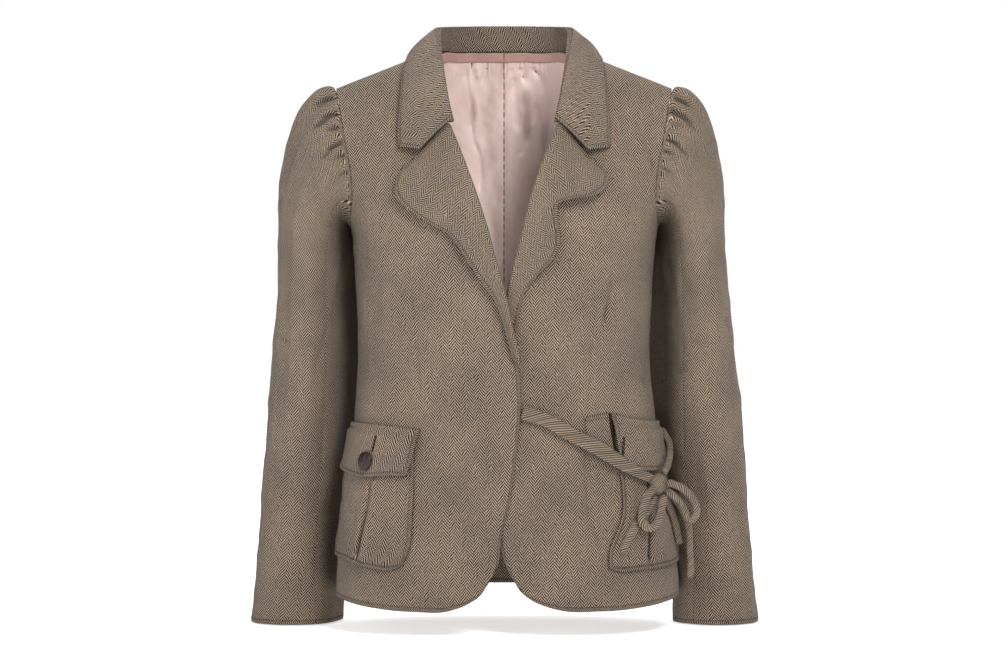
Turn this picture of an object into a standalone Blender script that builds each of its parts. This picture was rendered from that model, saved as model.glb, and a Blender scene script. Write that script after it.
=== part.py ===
"""Short tweed jacket with a tie waist, filled out as if worn, hollow and open, with no wearer inside.

Metres, +Z up, the front faces -Y and the wearer's right is at -X. The origin lies between the two
shoulder seams at the base of the neck, where a wearer's shoulders hold the garment.
"""
import bpy
import numpy as np
from mathutils import Vector
from mathutils.bvhtree import BVHTree

CLOTH = 0.0020
LINING = 0.0010
SEAM = 0.0004
CROSSWAY = 0.05
SHOULDER_ROUND = 0.16
FRONT_POWER = 1.7
BACK_POWER = 2.2
HEM = -0.586
UNDERARM = -0.187
UNDERARM_AT = 0.62
GORGE = -0.0785
BUTTON = 0.020
CORD = 0.0072
BAND_WIDTH = 0.0145
BAND_DEEP = 0.0034

# body rings: height, centre, half width, front depth, back depth
RINGS = np.array([
    (-0.640, 0.0040, 0.192, 0.121, 0.124),
    (-0.595, 0.0040, 0.189, 0.120, 0.122),
    (-0.550, 0.0035, 0.186, 0.119, 0.121),
    (-0.484, 0.0025, 0.178, 0.115, 0.116),
    (-0.440, 0.0010, 0.172, 0.111, 0.106),
    (-0.400, 0.0010, 0.166, 0.107, 0.097),
    (-0.360, 0.0000, 0.162, 0.106, 0.091),
    (-0.320, 0.0000, 0.160, 0.110, 0.090),
    (-0.264, 0.0000, 0.162, 0.121, 0.094),
    (-0.215, 0.0000, 0.165, 0.130, 0.101),
    (-0.187, 0.0000, 0.168, 0.131, 0.106),
    (-0.160, 0.0000, 0.179, 0.129, 0.110),
    (-0.130, 0.0000, 0.196, 0.124, 0.112),
    (-0.100, 0.0000, 0.208, 0.119, 0.111),
    (-0.070, 0.0000, 0.212, 0.115, 0.107),
    (-0.020, 0.0000, 0.213, 0.113, 0.099),
    (0.020, 0.0000, 0.213, 0.112, 0.088),
    (0.080, 0.0000, 0.213, 0.112, 0.080),
])
# top line of the shoulders and neck: distance from the centre, height
RIDGE = np.array([
    (0.000, 0.0760), (0.030, 0.0740), (0.055, 0.0500), (0.072, 0.0170), (0.086, 0.0055),
    (0.100, 0.0005), (0.140, -0.0145), (0.183, -0.0305), (0.215, -0.0430),
])
# opening edge of each front, from the rounded corner to the neck: height, distance to the own side
EDGE_RIGHT = np.array([
    (-0.5660, 0.0169), (-0.5449, 0.0063), (-0.5187, 0.0032), (-0.4767, -0.0063), (-0.4241, -0.0137),
    (-0.3714, -0.0178), (-0.3375, -0.0156), (-0.3163, -0.0112), (-0.2973, -0.0062), (-0.2541, 0.0033),
    (-0.2259, 0.0116),
    (-0.1900, 0.0215), (-0.1523, 0.0337), (-0.1129, 0.0482), (-0.0773, 0.0611), (-0.0354, 0.0692),
    (-0.0054, 0.0742), (0.0060, 0.0770), (0.0125, 0.0785),
])
EDGE_LEFT = np.array([
    (-0.5733, 0.0169), (-0.5502, 0.0036), (-0.5187, -0.0060), (-0.4767, -0.0110), (-0.4241, -0.0150),
    (-0.3714, -0.0160), (-0.3300, -0.0090), (-0.2973, 0.0000), (-0.2541, 0.0080), (-0.2259, 0.0145),
    (-0.1900, 0.0235), (-0.1523, 0.0337), (-0.1129, 0.0475), (-0.0773, 0.0602), (-0.0354, 0.0681),
    (-0.0054, 0.0735), (0.0060, 0.0768), (0.0125, 0.0785),
])
# front hems from the corner to the side seam: angle round the body in degrees, height
HEM_RIGHT = np.array([
    (4.3, -0.5660), (6.4, -0.5775), (9.1, -0.5850), (14.6, -0.5935), (26.8, -0.5955), (42.6, -0.5930),
    (63.4, -0.5885), (90.0, HEM),
])
HEM_LEFT = np.array([
    (4.3, -0.5733), (6.9, -0.5818), (11.0, -0.5892), (15.2, -0.5935), (27.5, -0.5950), (49.0, -0.5910),
    (62.0, -0.5880), (90.0, HEM),
])
# armhole from the shoulder to the underarm: share of its length, front angle, back angle, height
ARMHOLE = np.array([
    (0.00, 54.2, 54.2, -0.0312), (0.13, 51.0, 53.5, -0.0560), (0.25, 49.3, 52.8, -0.0817),
    (0.38, 48.6, 53.0, -0.1040), (0.50, 50.0, 54.5, -0.1260), (0.62, 55.0, 59.0, -0.1470),
    (0.76, 65.0, 68.0, -0.1680), (0.90, 79.0, 80.0, -0.1830), (1.00, 90.0, 90.0, UNDERARM),
])
ARMHOLE_SHARES = np.array([0, 0.02, 0.06, 0.12, 0.20, 0.29, 0.38, 0.47, 0.56, 0.63, 0.70, 0.78, 0.86, 0.93, 1.0])
SEAM_SHARE = 0.70
NECK_SHARE = 0.52
# sleeve rings: height, outer x, inner x, middle y, half depth, all to the own side
SLEEVE_RIGHT = np.array([
    (-0.205, 0.2460, 0.1765, 0.0020, 0.0755), (-0.264, 0.2468, 0.1790, 0.0060, 0.0710),
    (-0.320, 0.2530, 0.1775, 0.0130, 0.0660), (-0.374, 0.2580, 0.1790, 0.0210, 0.0615),
    (-0.430, 0.2635, 0.1830, 0.0300, 0.0560), (-0.484, 0.2680, 0.1890, 0.0380, 0.0520),
    (-0.540, 0.2725, 0.1920, 0.0450, 0.0490), (-0.595, 0.2785, 0.1900, 0.0500, 0.0470),
    (-0.622, 0.2815, 0.1895, 0.0510, 0.0460),
])
SLEEVE_LEFT = np.array([
    (-0.205, 0.2400, 0.1770, 0.0020, 0.0755), (-0.264, 0.2465, 0.1810, 0.0060, 0.0710),
    (-0.320, 0.2525, 0.1810, 0.0130, 0.0660), (-0.374, 0.2595, 0.1800, 0.0210, 0.0615),
    (-0.430, 0.2655, 0.1800, 0.0300, 0.0560), (-0.484, 0.2695, 0.1860, 0.0380, 0.0520),
    (-0.540, 0.2745, 0.1910, 0.0450, 0.0490), (-0.595, 0.2795, 0.1915, 0.0500, 0.0470),
    (-0.622, 0.2830, 0.1910, 0.0510, 0.0460),
])
# how a sleeve leaves the armhole: degrees from its top, outwards, away from the middle, upwards, fall
HEAD = np.array([
    (0.0, 0.105, 0.000, 0.032, 0.150), (45.0, 0.090, 0.022, 0.020, 0.130), (90.0, 0.066, 0.024, -0.008, 0.095),
    (135.0, 0.050, 0.008, 0.002, 0.055), (180.0, 0.036, 0.000, 0.020, 0.040),
])
# lapels from the gorge down: height on the opening edge, outer edge x, outer edge z, roll, lift at the edge
LAPEL_RIGHT = np.array([
    (-0.0815, 0.1068, -0.1280, 0.0030, 0.0034), (-0.1000, 0.1122, -0.1390, 0.0030, 0.0040),
    (-0.1250, 0.1118, -0.1560, 0.0030, 0.0060), (-0.1500, 0.0985, -0.1705, 0.0030, 0.0095),
    (-0.1720, 0.0778, -0.1858, 0.0030, 0.0070), (-0.1950, 0.0588, -0.1964, 0.0030, 0.0042),
    (-0.2180, 0.0430, -0.2170, 0.0028, 0.0060), (-0.2400, 0.0273, -0.2405, 0.0026, 0.0070),
    (-0.2640, 0.0135, -0.2600, 0.0025, 0.0052), (-0.2850, 0.0040, -0.2800, 0.0024, 0.0046),
    (-0.3100, -0.0020, -0.3020, 0.0022, 0.0040), (-0.3340, -0.0090, -0.3280, 0.0020, 0.0036),
])
LAPEL_LEFT = np.array([
    (-0.0815, 0.1057, -0.1285, 0.0030, 0.0034), (-0.0980, 0.1088, -0.1390, 0.0030, 0.0040),
    (-0.1180, 0.1030, -0.1510, 0.0030, 0.0080), (-0.1350, 0.0895, -0.1583, 0.0030, 0.0130),
    (-0.1500, 0.0700, -0.1610, 0.0030, 0.0140), (-0.1650, 0.0570, -0.1650, 0.0030, 0.0080),
    (-0.1820, 0.0560, -0.1780, 0.0029, 0.0042), (-0.2000, 0.0585, -0.1950, 0.0027, 0.0050),
    (-0.2180, 0.0570, -0.2110, 0.0026, 0.0080), (-0.2360, 0.0470, -0.2270, 0.0025, 0.0062),
    (-0.2540, 0.0330, -0.2430, 0.0023, 0.0048), (-0.2720, 0.0225, -0.2580, 0.0021, 0.0042),
    (-0.2900, 0.0170, -0.2770, 0.0020, 0.0038), (-0.3060, 0.0150, -0.2960, 0.0020, 0.0036),
])
# collar from the centre back to the gorge: neck seam x z, fold x y z, turn, rise, leaf edge x y z, bow
COLLAR = np.array([
    (0.0000, 0.0175, 0.0000, 0.0800, 0.0427, 90, 0, 0.0000, 0.0955, -0.0130, 0.0060),
    (0.0350, 0.0165, 0.0350, 0.0735, 0.0420, 68, 0, 0.0500, 0.0880, -0.0130, 0.0060),
    (0.0600, 0.0145, 0.0580, 0.0520, 0.0390, 42, 0, 0.0800, 0.0640, -0.0110, 0.0050),
    (0.0740, 0.0134, 0.0705, 0.0230, 0.0345, 16, 4, 0.0960, 0.0390, -0.0030, 0.0040),
    (0.0785, 0.0125, 0.0740, -0.0040, 0.0285, -8, 10, 0.1035, 0.0000, 0.0040, 0.0040),
    (0.0768, 0.0060, 0.0738, -0.0290, 0.0165, -30, 20, 0.1080, -0.0330, -0.0085, 0.0050),
    (0.0738, -0.0054, 0.0715, -0.0520, -0.0010, -52, 30, 0.1105, -0.0530, -0.0265, 0.0060),
    (0.0686, -0.0354, 0.0660, -0.0860, -0.0340, -68, 34, 0.1120, -0.0780, -0.0560, 0.0065),
    (0.0645, -0.0583, 0.0615, -0.1030, -0.0575, -72, 30, 0.1130, -0.0915, -0.0800, 0.0065),
    (0.0606, -0.0773, 0.0570, -0.1140, -0.0765, -75, 26, 0.1130, -0.1020, -0.1040, 0.0065),
])


COLLAR_STOPS = np.array([0, 1, 2, 2.5, 3, 3.5, 4])


def through(knots, values, at):
    """Smooth curve through the table's rows."""
    knots = np.asarray(knots, float)
    values = np.asarray(values, float)
    at = np.clip(np.asarray(at, float), knots[0], knots[-1])
    slopes = np.gradient(values, knots, axis=0)
    row = np.clip(np.searchsorted(knots, at, side="right") - 1, 0, len(knots) - 2)
    step = knots[row + 1] - knots[row]
    t = (at - knots[row]) / step
    if values.ndim > 1:
        t = t[..., None]
        step = step[..., None]
    near = (1 + 2 * t) * (1 - t) ** 2 * values[row] + t * (1 - t) ** 2 * step * slopes[row]
    return near + t * t * (3 - 2 * t) * values[row + 1] + t * t * (t - 1) * step * slopes[row + 1]


def soft(value, low, high):
    """Smooth step from 0 at low to 1 at high."""
    t = np.clip((value - low) / (high - low), 0, 1)
    return t * t * (3 - 2 * t)


def unit(vectors):
    return vectors / np.maximum(np.linalg.norm(vectors, axis=-1, keepdims=True), 1e-12)


def lobe_sin(angle):
    return (1 + CROSSWAY) * np.sin(angle) + CROSSWAY * np.sin(3 * angle)


def lobe_cos(angle):
    return (1 + CROSSWAY) * np.cos(angle) - CROSSWAY * np.cos(3 * angle)


def ridge(x):
    return through(RIDGE[:, 0], RIDGE[:, 1], np.abs(x))


def body(angle, z, back=False):
    """Point of the filled garment's outside; the angle is 0 at the centre and +-90 degrees at the sides."""
    angle, z = np.broadcast_arrays(np.asarray(angle, float), np.asarray(z, float))
    ring = through(RINGS[:, 0], RINGS[:, 1:], z)
    depth = ring[..., 3] if back else -ring[..., 2]
    power = BACK_POWER if back else FRONT_POWER
    across = ring[..., 1] * lobe_sin(angle)
    t = np.clip(1 - (ridge(across) - z) / SHOULDER_ROUND, 0, 1)
    y = depth * np.maximum(lobe_cos(angle), 0) * (1 - t ** power) ** (1 / power)
    return np.stack([across + ring[..., 0], y, z], -1)


QUARTER = np.linspace(0, np.pi / 2, 400)


def angle_at(x, z):
    """Angle round the body of the point at a distance x from the centre line."""
    half = through(RINGS[:, 0], RINGS[:, 2], z)
    return np.sign(x) * np.interp(np.abs(x) / half, lobe_sin(QUARTER), QUARTER)


def outward(angle, z, back=False):
    """Unit normal of the body, level along Y on the side seams and on the shoulder line."""
    angle, z = np.broadcast_arrays(np.asarray(angle, float), np.asarray(z, float))
    half = through(RINGS[:, 0], RINGS[:, 2], z)
    top = ridge(half * lobe_sin(angle))
    at = np.minimum(z, top - 0.0025)
    inside = np.clip(angle, -np.pi / 2 + 0.004, np.pi / 2 - 0.004)
    along = body(inside + 0.003, at, back) - body(inside - 0.003, at, back)
    up = body(inside, at + 0.0008, back) - body(inside, at - 0.0008, back)
    normal = unit(np.cross(along, up))
    normal = normal * np.where(normal[..., 1] * (1 if back else -1) < -1e-9, -1, 1)[..., None]
    seam = (np.abs(angle) > np.pi / 2 - 0.0005) | (z > top - 0.0006)
    normal[..., 1] = np.where(seam, 0, normal[..., 1])
    return unit(normal)


def lifted(angle, z, lift, back=False):
    lift = np.asarray(lift, float)
    return body(angle, z, back) + outward(angle, z, back) * lift[..., None]


def grid_normals(grid, wrap=False):
    """Unit normals of a grid of points."""
    if wrap:
        across = np.roll(grid, -1, 1) - np.roll(grid, 1, 1)
    else:
        across = np.gradient(grid, axis=1)
    return unit(np.cross(across, np.gradient(grid, axis=0)))


def material(name, colour, roughness, metallic=0.0):
    made = bpy.data.materials.new(name)
    made.use_nodes = True
    made.diffuse_color = (*colour, 1)
    shader = made.node_tree.nodes["Principled BSDF"]
    shader.inputs["Base Color"].default_value = (*colour, 1)
    shader.inputs["Roughness"].default_value = roughness
    shader.inputs["Metallic"].default_value = metallic
    return made


def solid(name, outer, inner, paint, wrap=False):
    """Closed wall between two grids of points; its rims join their edges."""
    rows, columns = outer.shape[:2]
    index = np.arange(rows * columns).reshape(rows, columns)
    if wrap:
        index = np.concatenate([index, index[:, :1]], 1)
    front = np.stack([index[:-1, :-1], index[:-1, 1:], index[1:, 1:], index[1:, :-1]], -1).reshape(-1, 4)
    behind = front[:, ::-1] + rows * columns
    loops = [index[0], index[-1][::-1]]
    if not wrap:
        loops += [index[:, 0][::-1], index[:, -1]]
    rims = []
    for loop in loops:
        rims.append(np.stack([loop[1:], loop[:-1], loop[:-1] + rows * columns, loop[1:] + rows * columns], -1))
    faces = np.concatenate([front, behind] + rims)
    points = np.concatenate([outer.reshape(-1, 3), inner.reshape(-1, 3)])
    a, b, c, d = (points[faces[:, k]] for k in range(4))
    volume = (np.cross(b, c) * a).sum() + (np.cross(c, d) * a).sum()
    if volume < 0:
        faces = faces[:, ::-1]
    mesh = bpy.data.meshes.new(name)
    mesh.from_pydata(points.tolist(), [], faces.tolist())
    mesh.update()
    mesh.materials.append(paint)
    mesh.polygons.foreach_set("use_smooth", np.ones(len(faces), dtype=bool))
    made = bpy.data.objects.new(name, mesh)
    bpy.context.collection.objects.link(made)
    return made


def patch(inner, outer, bottom, top, us, vs):
    """Surface coordinates (angle, height) blended between four edges."""
    u = us[None, :, None]
    v = vs[:, None, None]
    left = inner(vs)[:, None]
    right = outer(vs)[:, None]
    low = bottom(us)[None]
    high = top(us)[None]
    corners = (1 - u) * (1 - v) * low[:, :1] + u * (1 - v) * low[:, -1:]
    corners = corners + (1 - u) * v * high[:, :1] + u * v * high[:, -1:]
    return (1 - u) * left + u * right + (1 - v) * low + v * high - corners


def side_edge(v, back):
    """Plain line up the side and over the shoulder end, and the armhole's departure from it."""
    above = np.clip((v - UNDERARM_AT) / (1 - UNDERARM_AT), 0, 1)
    column = 2 if back else 1
    tip = ARMHOLE[0, (column, 3)]
    seam = HEM + (UNDERARM - HEM) * np.clip(v / UNDERARM_AT, 0, 1)
    plain = np.stack([90 + (tip[0] - 90) * above, seam + (tip[1] - UNDERARM) * above], -1)
    hole = through(ARMHOLE[:, 0], ARMHOLE[:, (column, 3)], 1 - above)
    apart = np.where((above > 0)[:, None], hole - plain, 0)
    scale = np.array([np.pi / 180, 1])
    return plain * scale, apart * scale


def heights():
    """Rows of a body panel; those above the underarm stand on the armhole's own shares."""
    low = [0, 0.03, 0.07, 0.13, 0.19, 0.25, 0.30, 0.36, 0.41, 0.45, 0.49, 0.53, 0.575]
    return np.concatenate([low, 1 - (1 - UNDERARM_AT) * ARMHOLE_SHARES[::-1]])


def edge_rows(side, low, high):
    """Heights of a front's rows on its opening edge, between two heights and from the top down."""
    table = EDGE_LEFT if side > 0 else EDGE_RIGHT
    z = table[0, 0] + (table[-1, 0] - table[0, 0]) * heights()
    inside = z[(z > low + 0.003) & (z < high - 0.003)]
    return np.concatenate([[high], inside[::-1], [low]])


def opening(side, z):
    """Angle of a front's opening edge, positive towards its own side."""
    table = EDGE_LEFT if side > 0 else EDGE_RIGHT
    middle = through(RINGS[:, 0], RINGS[:, 1], z)
    return angle_at(through(table[:, 0], table[:, 1], z) - side * middle, z)


def tuck_under(x, z):
    """How far the under front lies inside the top front."""
    deep = through((-0.60, -0.36, -0.335, -0.31, -0.262, -0.240, -0.205, 0.02),
                   (0.0050, 0.0050, 0.0064, 0.0098, 0.0098, 0.0062, 0.0, 0.0), z)
    return deep * soft(-np.asarray(x), -0.080, -0.024)


def front_point(side, angle, z, lift):
    """Point on a front; the wearer's left front is tucked under the right one near the centre."""
    points = lifted(side * angle, z, lift)
    if side > 0:
        normal = outward(side * angle, z)
        points = points - normal * tuck_under(points[..., 0], z)[..., None]
    points[..., 1] -= SEAM / 2
    return points


def front(name, side, paint):
    table = EDGE_LEFT if side > 0 else EDGE_RIGHT
    hems = HEM_LEFT if side > 0 else HEM_RIGHT
    columns = np.linspace(0, 1, 13)
    tip = np.radians(ARMHOLE[0, 1])

    def inner(v):
        z = table[0, 0] + (table[-1, 0] - table[0, 0]) * v
        return np.stack([opening(side, z), z], -1)

    def bottom(u):
        angle = 4.3 + (90 - 4.3) * u
        return np.stack([np.radians(angle), through(hems[:, 0], hems[:, 1], angle)], -1)

    def top(u):
        neck = opening(side, np.array([0.0125]))[0]
        angle = neck + (tip - neck) * u
        z = np.full_like(u, -0.01)
        for _ in range(25):
            z = ridge(body(angle, z)[..., 0])
        return np.stack([angle, z], -1)

    def outline(v):
        plain, apart = side_edge(v, False)
        return plain + apart

    where = patch(inner, outline, bottom, top, columns, heights())
    outer = front_point(side, where[..., 0], where[..., 1], np.zeros(where.shape[:2]))
    inside = front_point(side, where[..., 0], where[..., 1], np.full(where.shape[:2], -CLOTH))
    return solid(name, outer, inside, paint)


def back_grid():
    """Surface coordinates of the back between hem, side seams, armholes, shoulders and neck."""
    def right(v):
        return side_edge(v, True)[0]

    def left(v):
        return side_edge(v, True)[0] * np.array([-1, 1])

    def bottom(u):
        angle = 90 * (2 * u - 1)
        return np.stack([np.radians(angle), np.full_like(u, HEM)], -1)

    def top(u):
        across = np.abs(2 * u - 1)
        neck = through(np.arange(10), COLLAR[:, :2], across / NECK_SHARE * 4)
        half = 0.0785 + 0.1050 * (across - NECK_SHARE) / (1 - NECK_SHARE)
        on_neck = across < NECK_SHARE + 1e-9
        half = np.where(on_neck, neck[:, 0], half)
        z = np.where(on_neck, neck[:, 1], ridge(half))
        angle = np.where(across > 0.9999, np.radians(ARMHOLE[0, 2]), angle_at(half, z))
        z = np.where(across > 0.9999, ARMHOLE[0, 3], z)
        return np.stack([np.sign(2 * u - 1) * angle, z], -1)

    half = np.concatenate([NECK_SHARE / 4 * COLLAR_STOPS, NECK_SHARE + (1 - NECK_SHARE) * np.array([0.34, 0.67, 1.0])])
    across = np.concatenate([-half[:0:-1], half])
    where = patch(left, right, bottom, top, (across + 1) / 2, heights())
    apart = side_edge(heights(), True)[1][:, None]
    share = np.abs(across) ** 2.5
    return where + apart * np.stack([np.sign(across) * share, share], -1)[None]


def back(name, paint):
    where = back_grid()
    outer = lifted(where[..., 0], where[..., 1], np.zeros(where.shape[:2]), True)
    inside = lifted(where[..., 0], where[..., 1], np.full(where.shape[:2], -CLOTH), True)
    move = np.array([0, SEAM / 2, 0])
    return solid(name, outer + move, inside + move, paint)


def armhole_rim(side, turn):
    """Outer rim, inner rim and direction away from the panels, at degrees from the armhole's top."""
    share = np.abs(turn) / 180
    found = []
    for back_side, column in ((False, 1), (True, 2)):
        at = through(ARMHOLE[:, 0], ARMHOLE[:, (column, 3)], share)
        later = through(ARMHOLE[:, 0], ARMHOLE[:, (column, 3)], np.minimum(share + 0.004, 1))
        early = through(ARMHOLE[:, 0], ARMHOLE[:, (column, 3)], np.maximum(share - 0.004, 0))
        angle = np.radians(at[:, 0])
        edge = body(angle, at[:, 1], back_side)
        normal = outward(angle, at[:, 1], back_side)
        run = body(np.radians(later[:, 0]), later[:, 1], back_side)
        run = run - body(np.radians(early[:, 0]), early[:, 1], back_side)
        away = unit(np.cross(run, normal)) * (1 if back_side else -1)
        edge = edge + np.array([0, (1 if back_side else -1) * SEAM / 2, 0])
        found.append((edge, edge - normal * CLOTH, away))
    ahead = (turn >= 0)[:, None]
    outer, inside, away = (np.where(ahead, found[0][k], found[1][k]) for k in range(3))
    for ends in (np.abs(turn) < 1e-6, np.abs(turn) > 179.999):
        away[ends, 1] = 0
    away = unit(away)
    flip = np.array([side, 1, 1])
    return outer * flip, inside * flip, away * flip


def sleeve(name, side, turns, paint):
    """Part of a sleeve between two lengthways seams; turns are degrees from its top, the front positive."""
    table = SLEEVE_LEFT if side > 0 else SLEEVE_RIGHT
    turns = np.concatenate([[2 * turns[0] - turns[1]], turns, [2 * turns[-1] - turns[-2]]])
    turns = (turns + 180) % 360 - 180
    outer, inside, away = armhole_rim(side, turns)
    gap = SEAM * (2 + 1.5 * soft(np.abs(turns), 100, 150))
    start = (outer + inside) / 2 + away * gap[:, None]
    head = through(HEAD[:, 0], HEAD[:, 1:], np.abs(turns))
    sign = np.where(turns >= 0, -1, 1)
    leave = np.stack([side * head[:, 0], sign * head[:, 1], head[:, 2]], -1) + away * 0.06
    angle = np.radians(turns)

    def ring(z):
        row = through(-table[:, 0], table[:, 1:], -z)
        middle = (row[..., 0] + row[..., 1]) / 2
        half = (row[..., 0] - row[..., 1]) / 2
        x = side * (middle + half * np.cos(angle))
        y = row[..., 2] - row[..., 3] * np.sin(angle)
        return np.stack(np.broadcast_arrays(x, y, z), -1)

    first = -0.215 + 0.022 * np.cos(angle)
    low = ring(first)
    down = (low - ring(first - 0.01)) / 0.01 * -head[:, 3][:, None]
    rows = []
    for t in np.concatenate([[0, 0.04, 0.10], np.linspace(0.2, 1, 6)]):
        a = (1 + 2 * t) * (1 - t) ** 2
        b = t * (1 - t) ** 2
        rows.append(a * start + b * leave + (1 - a) * low + t * t * (t - 1) * down)
    for t in np.linspace(0, 1, 7)[1:]:
        rows.append(ring(first + (-0.622 - first) * t))
    grid = np.array(rows)
    normal = grid_normals(grid)
    normal = normal * np.sign((normal[6] * (grid[6] - grid[6].mean(0) * np.array([1, 1, 1]))).sum())
    normal[0] = unit(outer - inside)
    fall = np.arange(len(rows), dtype=float)[:, None]
    puff = 0.0030 * (fall / 4) * np.exp(1 - fall / 4) * np.clip(np.cos(angle * 1.15), 0, 1) * (fall > 0)
    grid = grid + normal * (puff * np.cos(angle * 11 + 0.6 * side))[..., None]
    grid = grid[:, 1:-1]
    normal = normal[:, 1:-1]
    return solid(name, grid + normal * CLOTH / 2, grid - normal * CLOTH / 2, paint)


def lapel(name, side, paint):
    """Front edge rolled back over the front, from its fold to its free outer edge."""
    table = LAPEL_LEFT if side > 0 else LAPEL_RIGHT
    z = edge_rows(side, table[-1, 0], table[0, 0])
    z = np.sort(np.concatenate([z, (z[1:] + z[:-1]) / 2]))[::-1]
    row = through(-table[:, 0], table, -z)
    rows = np.arange(len(z)) / (len(z) - 1)
    start = opening(side, z)
    finish = angle_at(row[:, 1], row[:, 2])
    leaf = np.array([0.12, 0.32, 0.56, 0.79, 1.0])
    bend = -0.0066 * (1 - soft(rows, 0.0, 0.13))
    edge = front_point(side, start, z, np.full_like(z, -CLOTH / 2))
    over = front_point(side, start, z, np.full_like(z, CLOTH))
    normal = unit(over - edge)
    step = front_point(side, start + (finish - start) * 0.1, z + (row[:, 2] - z) * 0.1, np.full_like(z, -CLOTH / 2))
    run = unit(np.gradient(edge, axis=0))
    across = np.cross(run, normal)
    across = across * np.sign((across * (step - edge)).sum(-1, keepdims=True))
    edge[1:-1:2] = (edge[:-2:2] + edge[2::2]) / 2
    roll = row[:, 3:4]
    centre = edge - across * SEAM * 1.8 + normal * roll
    columns = [centre - normal * roll]
    for turn in np.radians((45, 90, 135, 180)):
        columns.append(centre - roll * (normal * np.cos(turn) + across * np.sin(turn)))
    first = normal
    for t in leaf:
        down = np.interp(t, (0, 0.58, 1), (0, 1, 0)) * bend
        lift = 2 * row[:, 3] - CLOTH / 2
        lift = lift + (row[:, 4] - lift) * t * t * (3 - 2 * t)
        columns.append(front_point(side, start + (finish - start) * t, z + (row[:, 2] - z) * t + down, lift))
    grid = np.array(columns).transpose(1, 0, 2)
    normal = grid_normals(grid)
    normal[:, 0] = first * np.sign((first * normal[:, 0]).sum())
    return solid(name, grid + normal * CLOTH / 2, grid - normal * CLOTH / 2, paint)


def collar(name, paint):
    """Stand, fold and leaf round the neck, from one gorge seam to the other."""
    ends = []
    for end in (-1, 1):
        z = edge_rows(end, COLLAR[9, 1], 0.0125)[1:]
        steps = np.linspace(4, 9, 400)
        ends.append(np.interp(-z, -through(np.arange(10), COLLAR[:, 1], steps), steps))
    stations = np.concatenate([-ends[0][::-1], -COLLAR_STOPS[:0:-1], COLLAR_STOPS, ends[1]])
    side = np.where(stations < 0, -1.0, 1.0)
    row = through(np.arange(10), COLLAR, np.abs(stations))
    z = row[:, 1]
    behind = np.abs(stations) < 4
    front_x = np.where(side > 0, through(EDGE_LEFT[:, 0], EDGE_LEFT[:, 1], z), through(EDGE_RIGHT[:, 0], EDGE_RIGHT[:, 1], z))
    half = np.where(behind, row[:, 0], front_x)
    angle = side * angle_at(half, z)
    seam_front = lifted(angle, z, np.full_like(z, -CLOTH / 2)) - np.array([0, SEAM / 2, 0])
    seam_back = lifted(angle, z, np.full_like(z, -CLOTH / 2), True) + np.array([0, SEAM / 2, 0])
    seam = np.where(behind[:, None], seam_back, seam_front)
    flip = np.stack([side, np.ones_like(side), np.ones_like(side)], -1)
    fold = row[:, 2:5] * flip
    turn = np.radians(row[:, 5])
    rise = np.radians(row[:, 6])
    out = np.stack([np.cos(turn) * np.cos(rise), np.sin(turn) * np.cos(rise), np.sin(rise)], -1) * flip
    run = unit(np.gradient(fold, axis=0))
    up = unit(np.cross(out, run))
    roll = 0.0030
    centre = fold - up * roll
    stand = centre - out * roll
    face = np.where(behind[:, None], outward(angle, z, True), outward(angle, z))
    rising = unit(np.cross(np.gradient(seam, axis=0), face))
    rising = rising * np.sign((rising * (stand - seam)).sum(-1, keepdims=True))
    seam = seam + rising * SEAM * 1.4
    edge = row[:, 7:10] * flip
    columns = [seam, seam + (stand - seam) * 0.5]
    for step in np.radians((0, 45, 90, 135, 180)):
        columns.append(centre + roll * (-out * np.cos(step) + up * np.sin(step)))
    begin = centre + out * roll
    ending = 1 - soft(9 - np.abs(stations), 0.0, 1.6)
    for t in (0.17, 0.36, 0.56, 0.78, 1.0):
        down = np.interp(t, (0, 0.56, 1), (0, 1, 0)) * ending
        bulge = out * (row[:, 10] * 4 * t * (1 - t))[:, None]
        columns.append(begin + (edge - begin) * t + bulge + np.array([0, -0.004, -0.019]) * down[:, None])
    grid = np.array(columns).transpose(1, 0, 2)
    normal = grid_normals(grid)
    normal[:, 0] = face * np.sign((face * normal[:, 0]).sum())
    return solid(name, grid + normal * CLOTH / 2, grid - normal * CLOTH / 2, paint)


def on_front(name, side, edges, lift_outer, lift_inner, paint, columns, rows):
    """Piece lying on a front between four edges, its outer and inner lifts given over (across, up)."""
    us = np.asarray(columns, float)
    vs = np.linspace(0, 1, rows)
    where = patch(*edges, us, vs)
    ring = through(RINGS[:, 0], RINGS[:, 1:3], where[..., 1])
    where[..., 0] -= side * ring[..., 0] / ring[..., 1]
    u, v = np.meshgrid(us, vs)
    outer = front_point(side, where[..., 0], where[..., 1], lift_outer(u, v))
    inner = front_point(side, where[..., 0], where[..., 1], lift_inner(u, v))
    return solid(name, outer, inner, paint)


def table_edge(rows):
    """Edge curve from rows of (share, angle in degrees, height)."""
    rows = np.array(rows)

    def edge(t):
        found = through(rows[:, 0], rows[:, 1:], t)
        return np.stack([np.radians(found[:, 0]), found[:, 1]], -1)
    return edge


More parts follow.
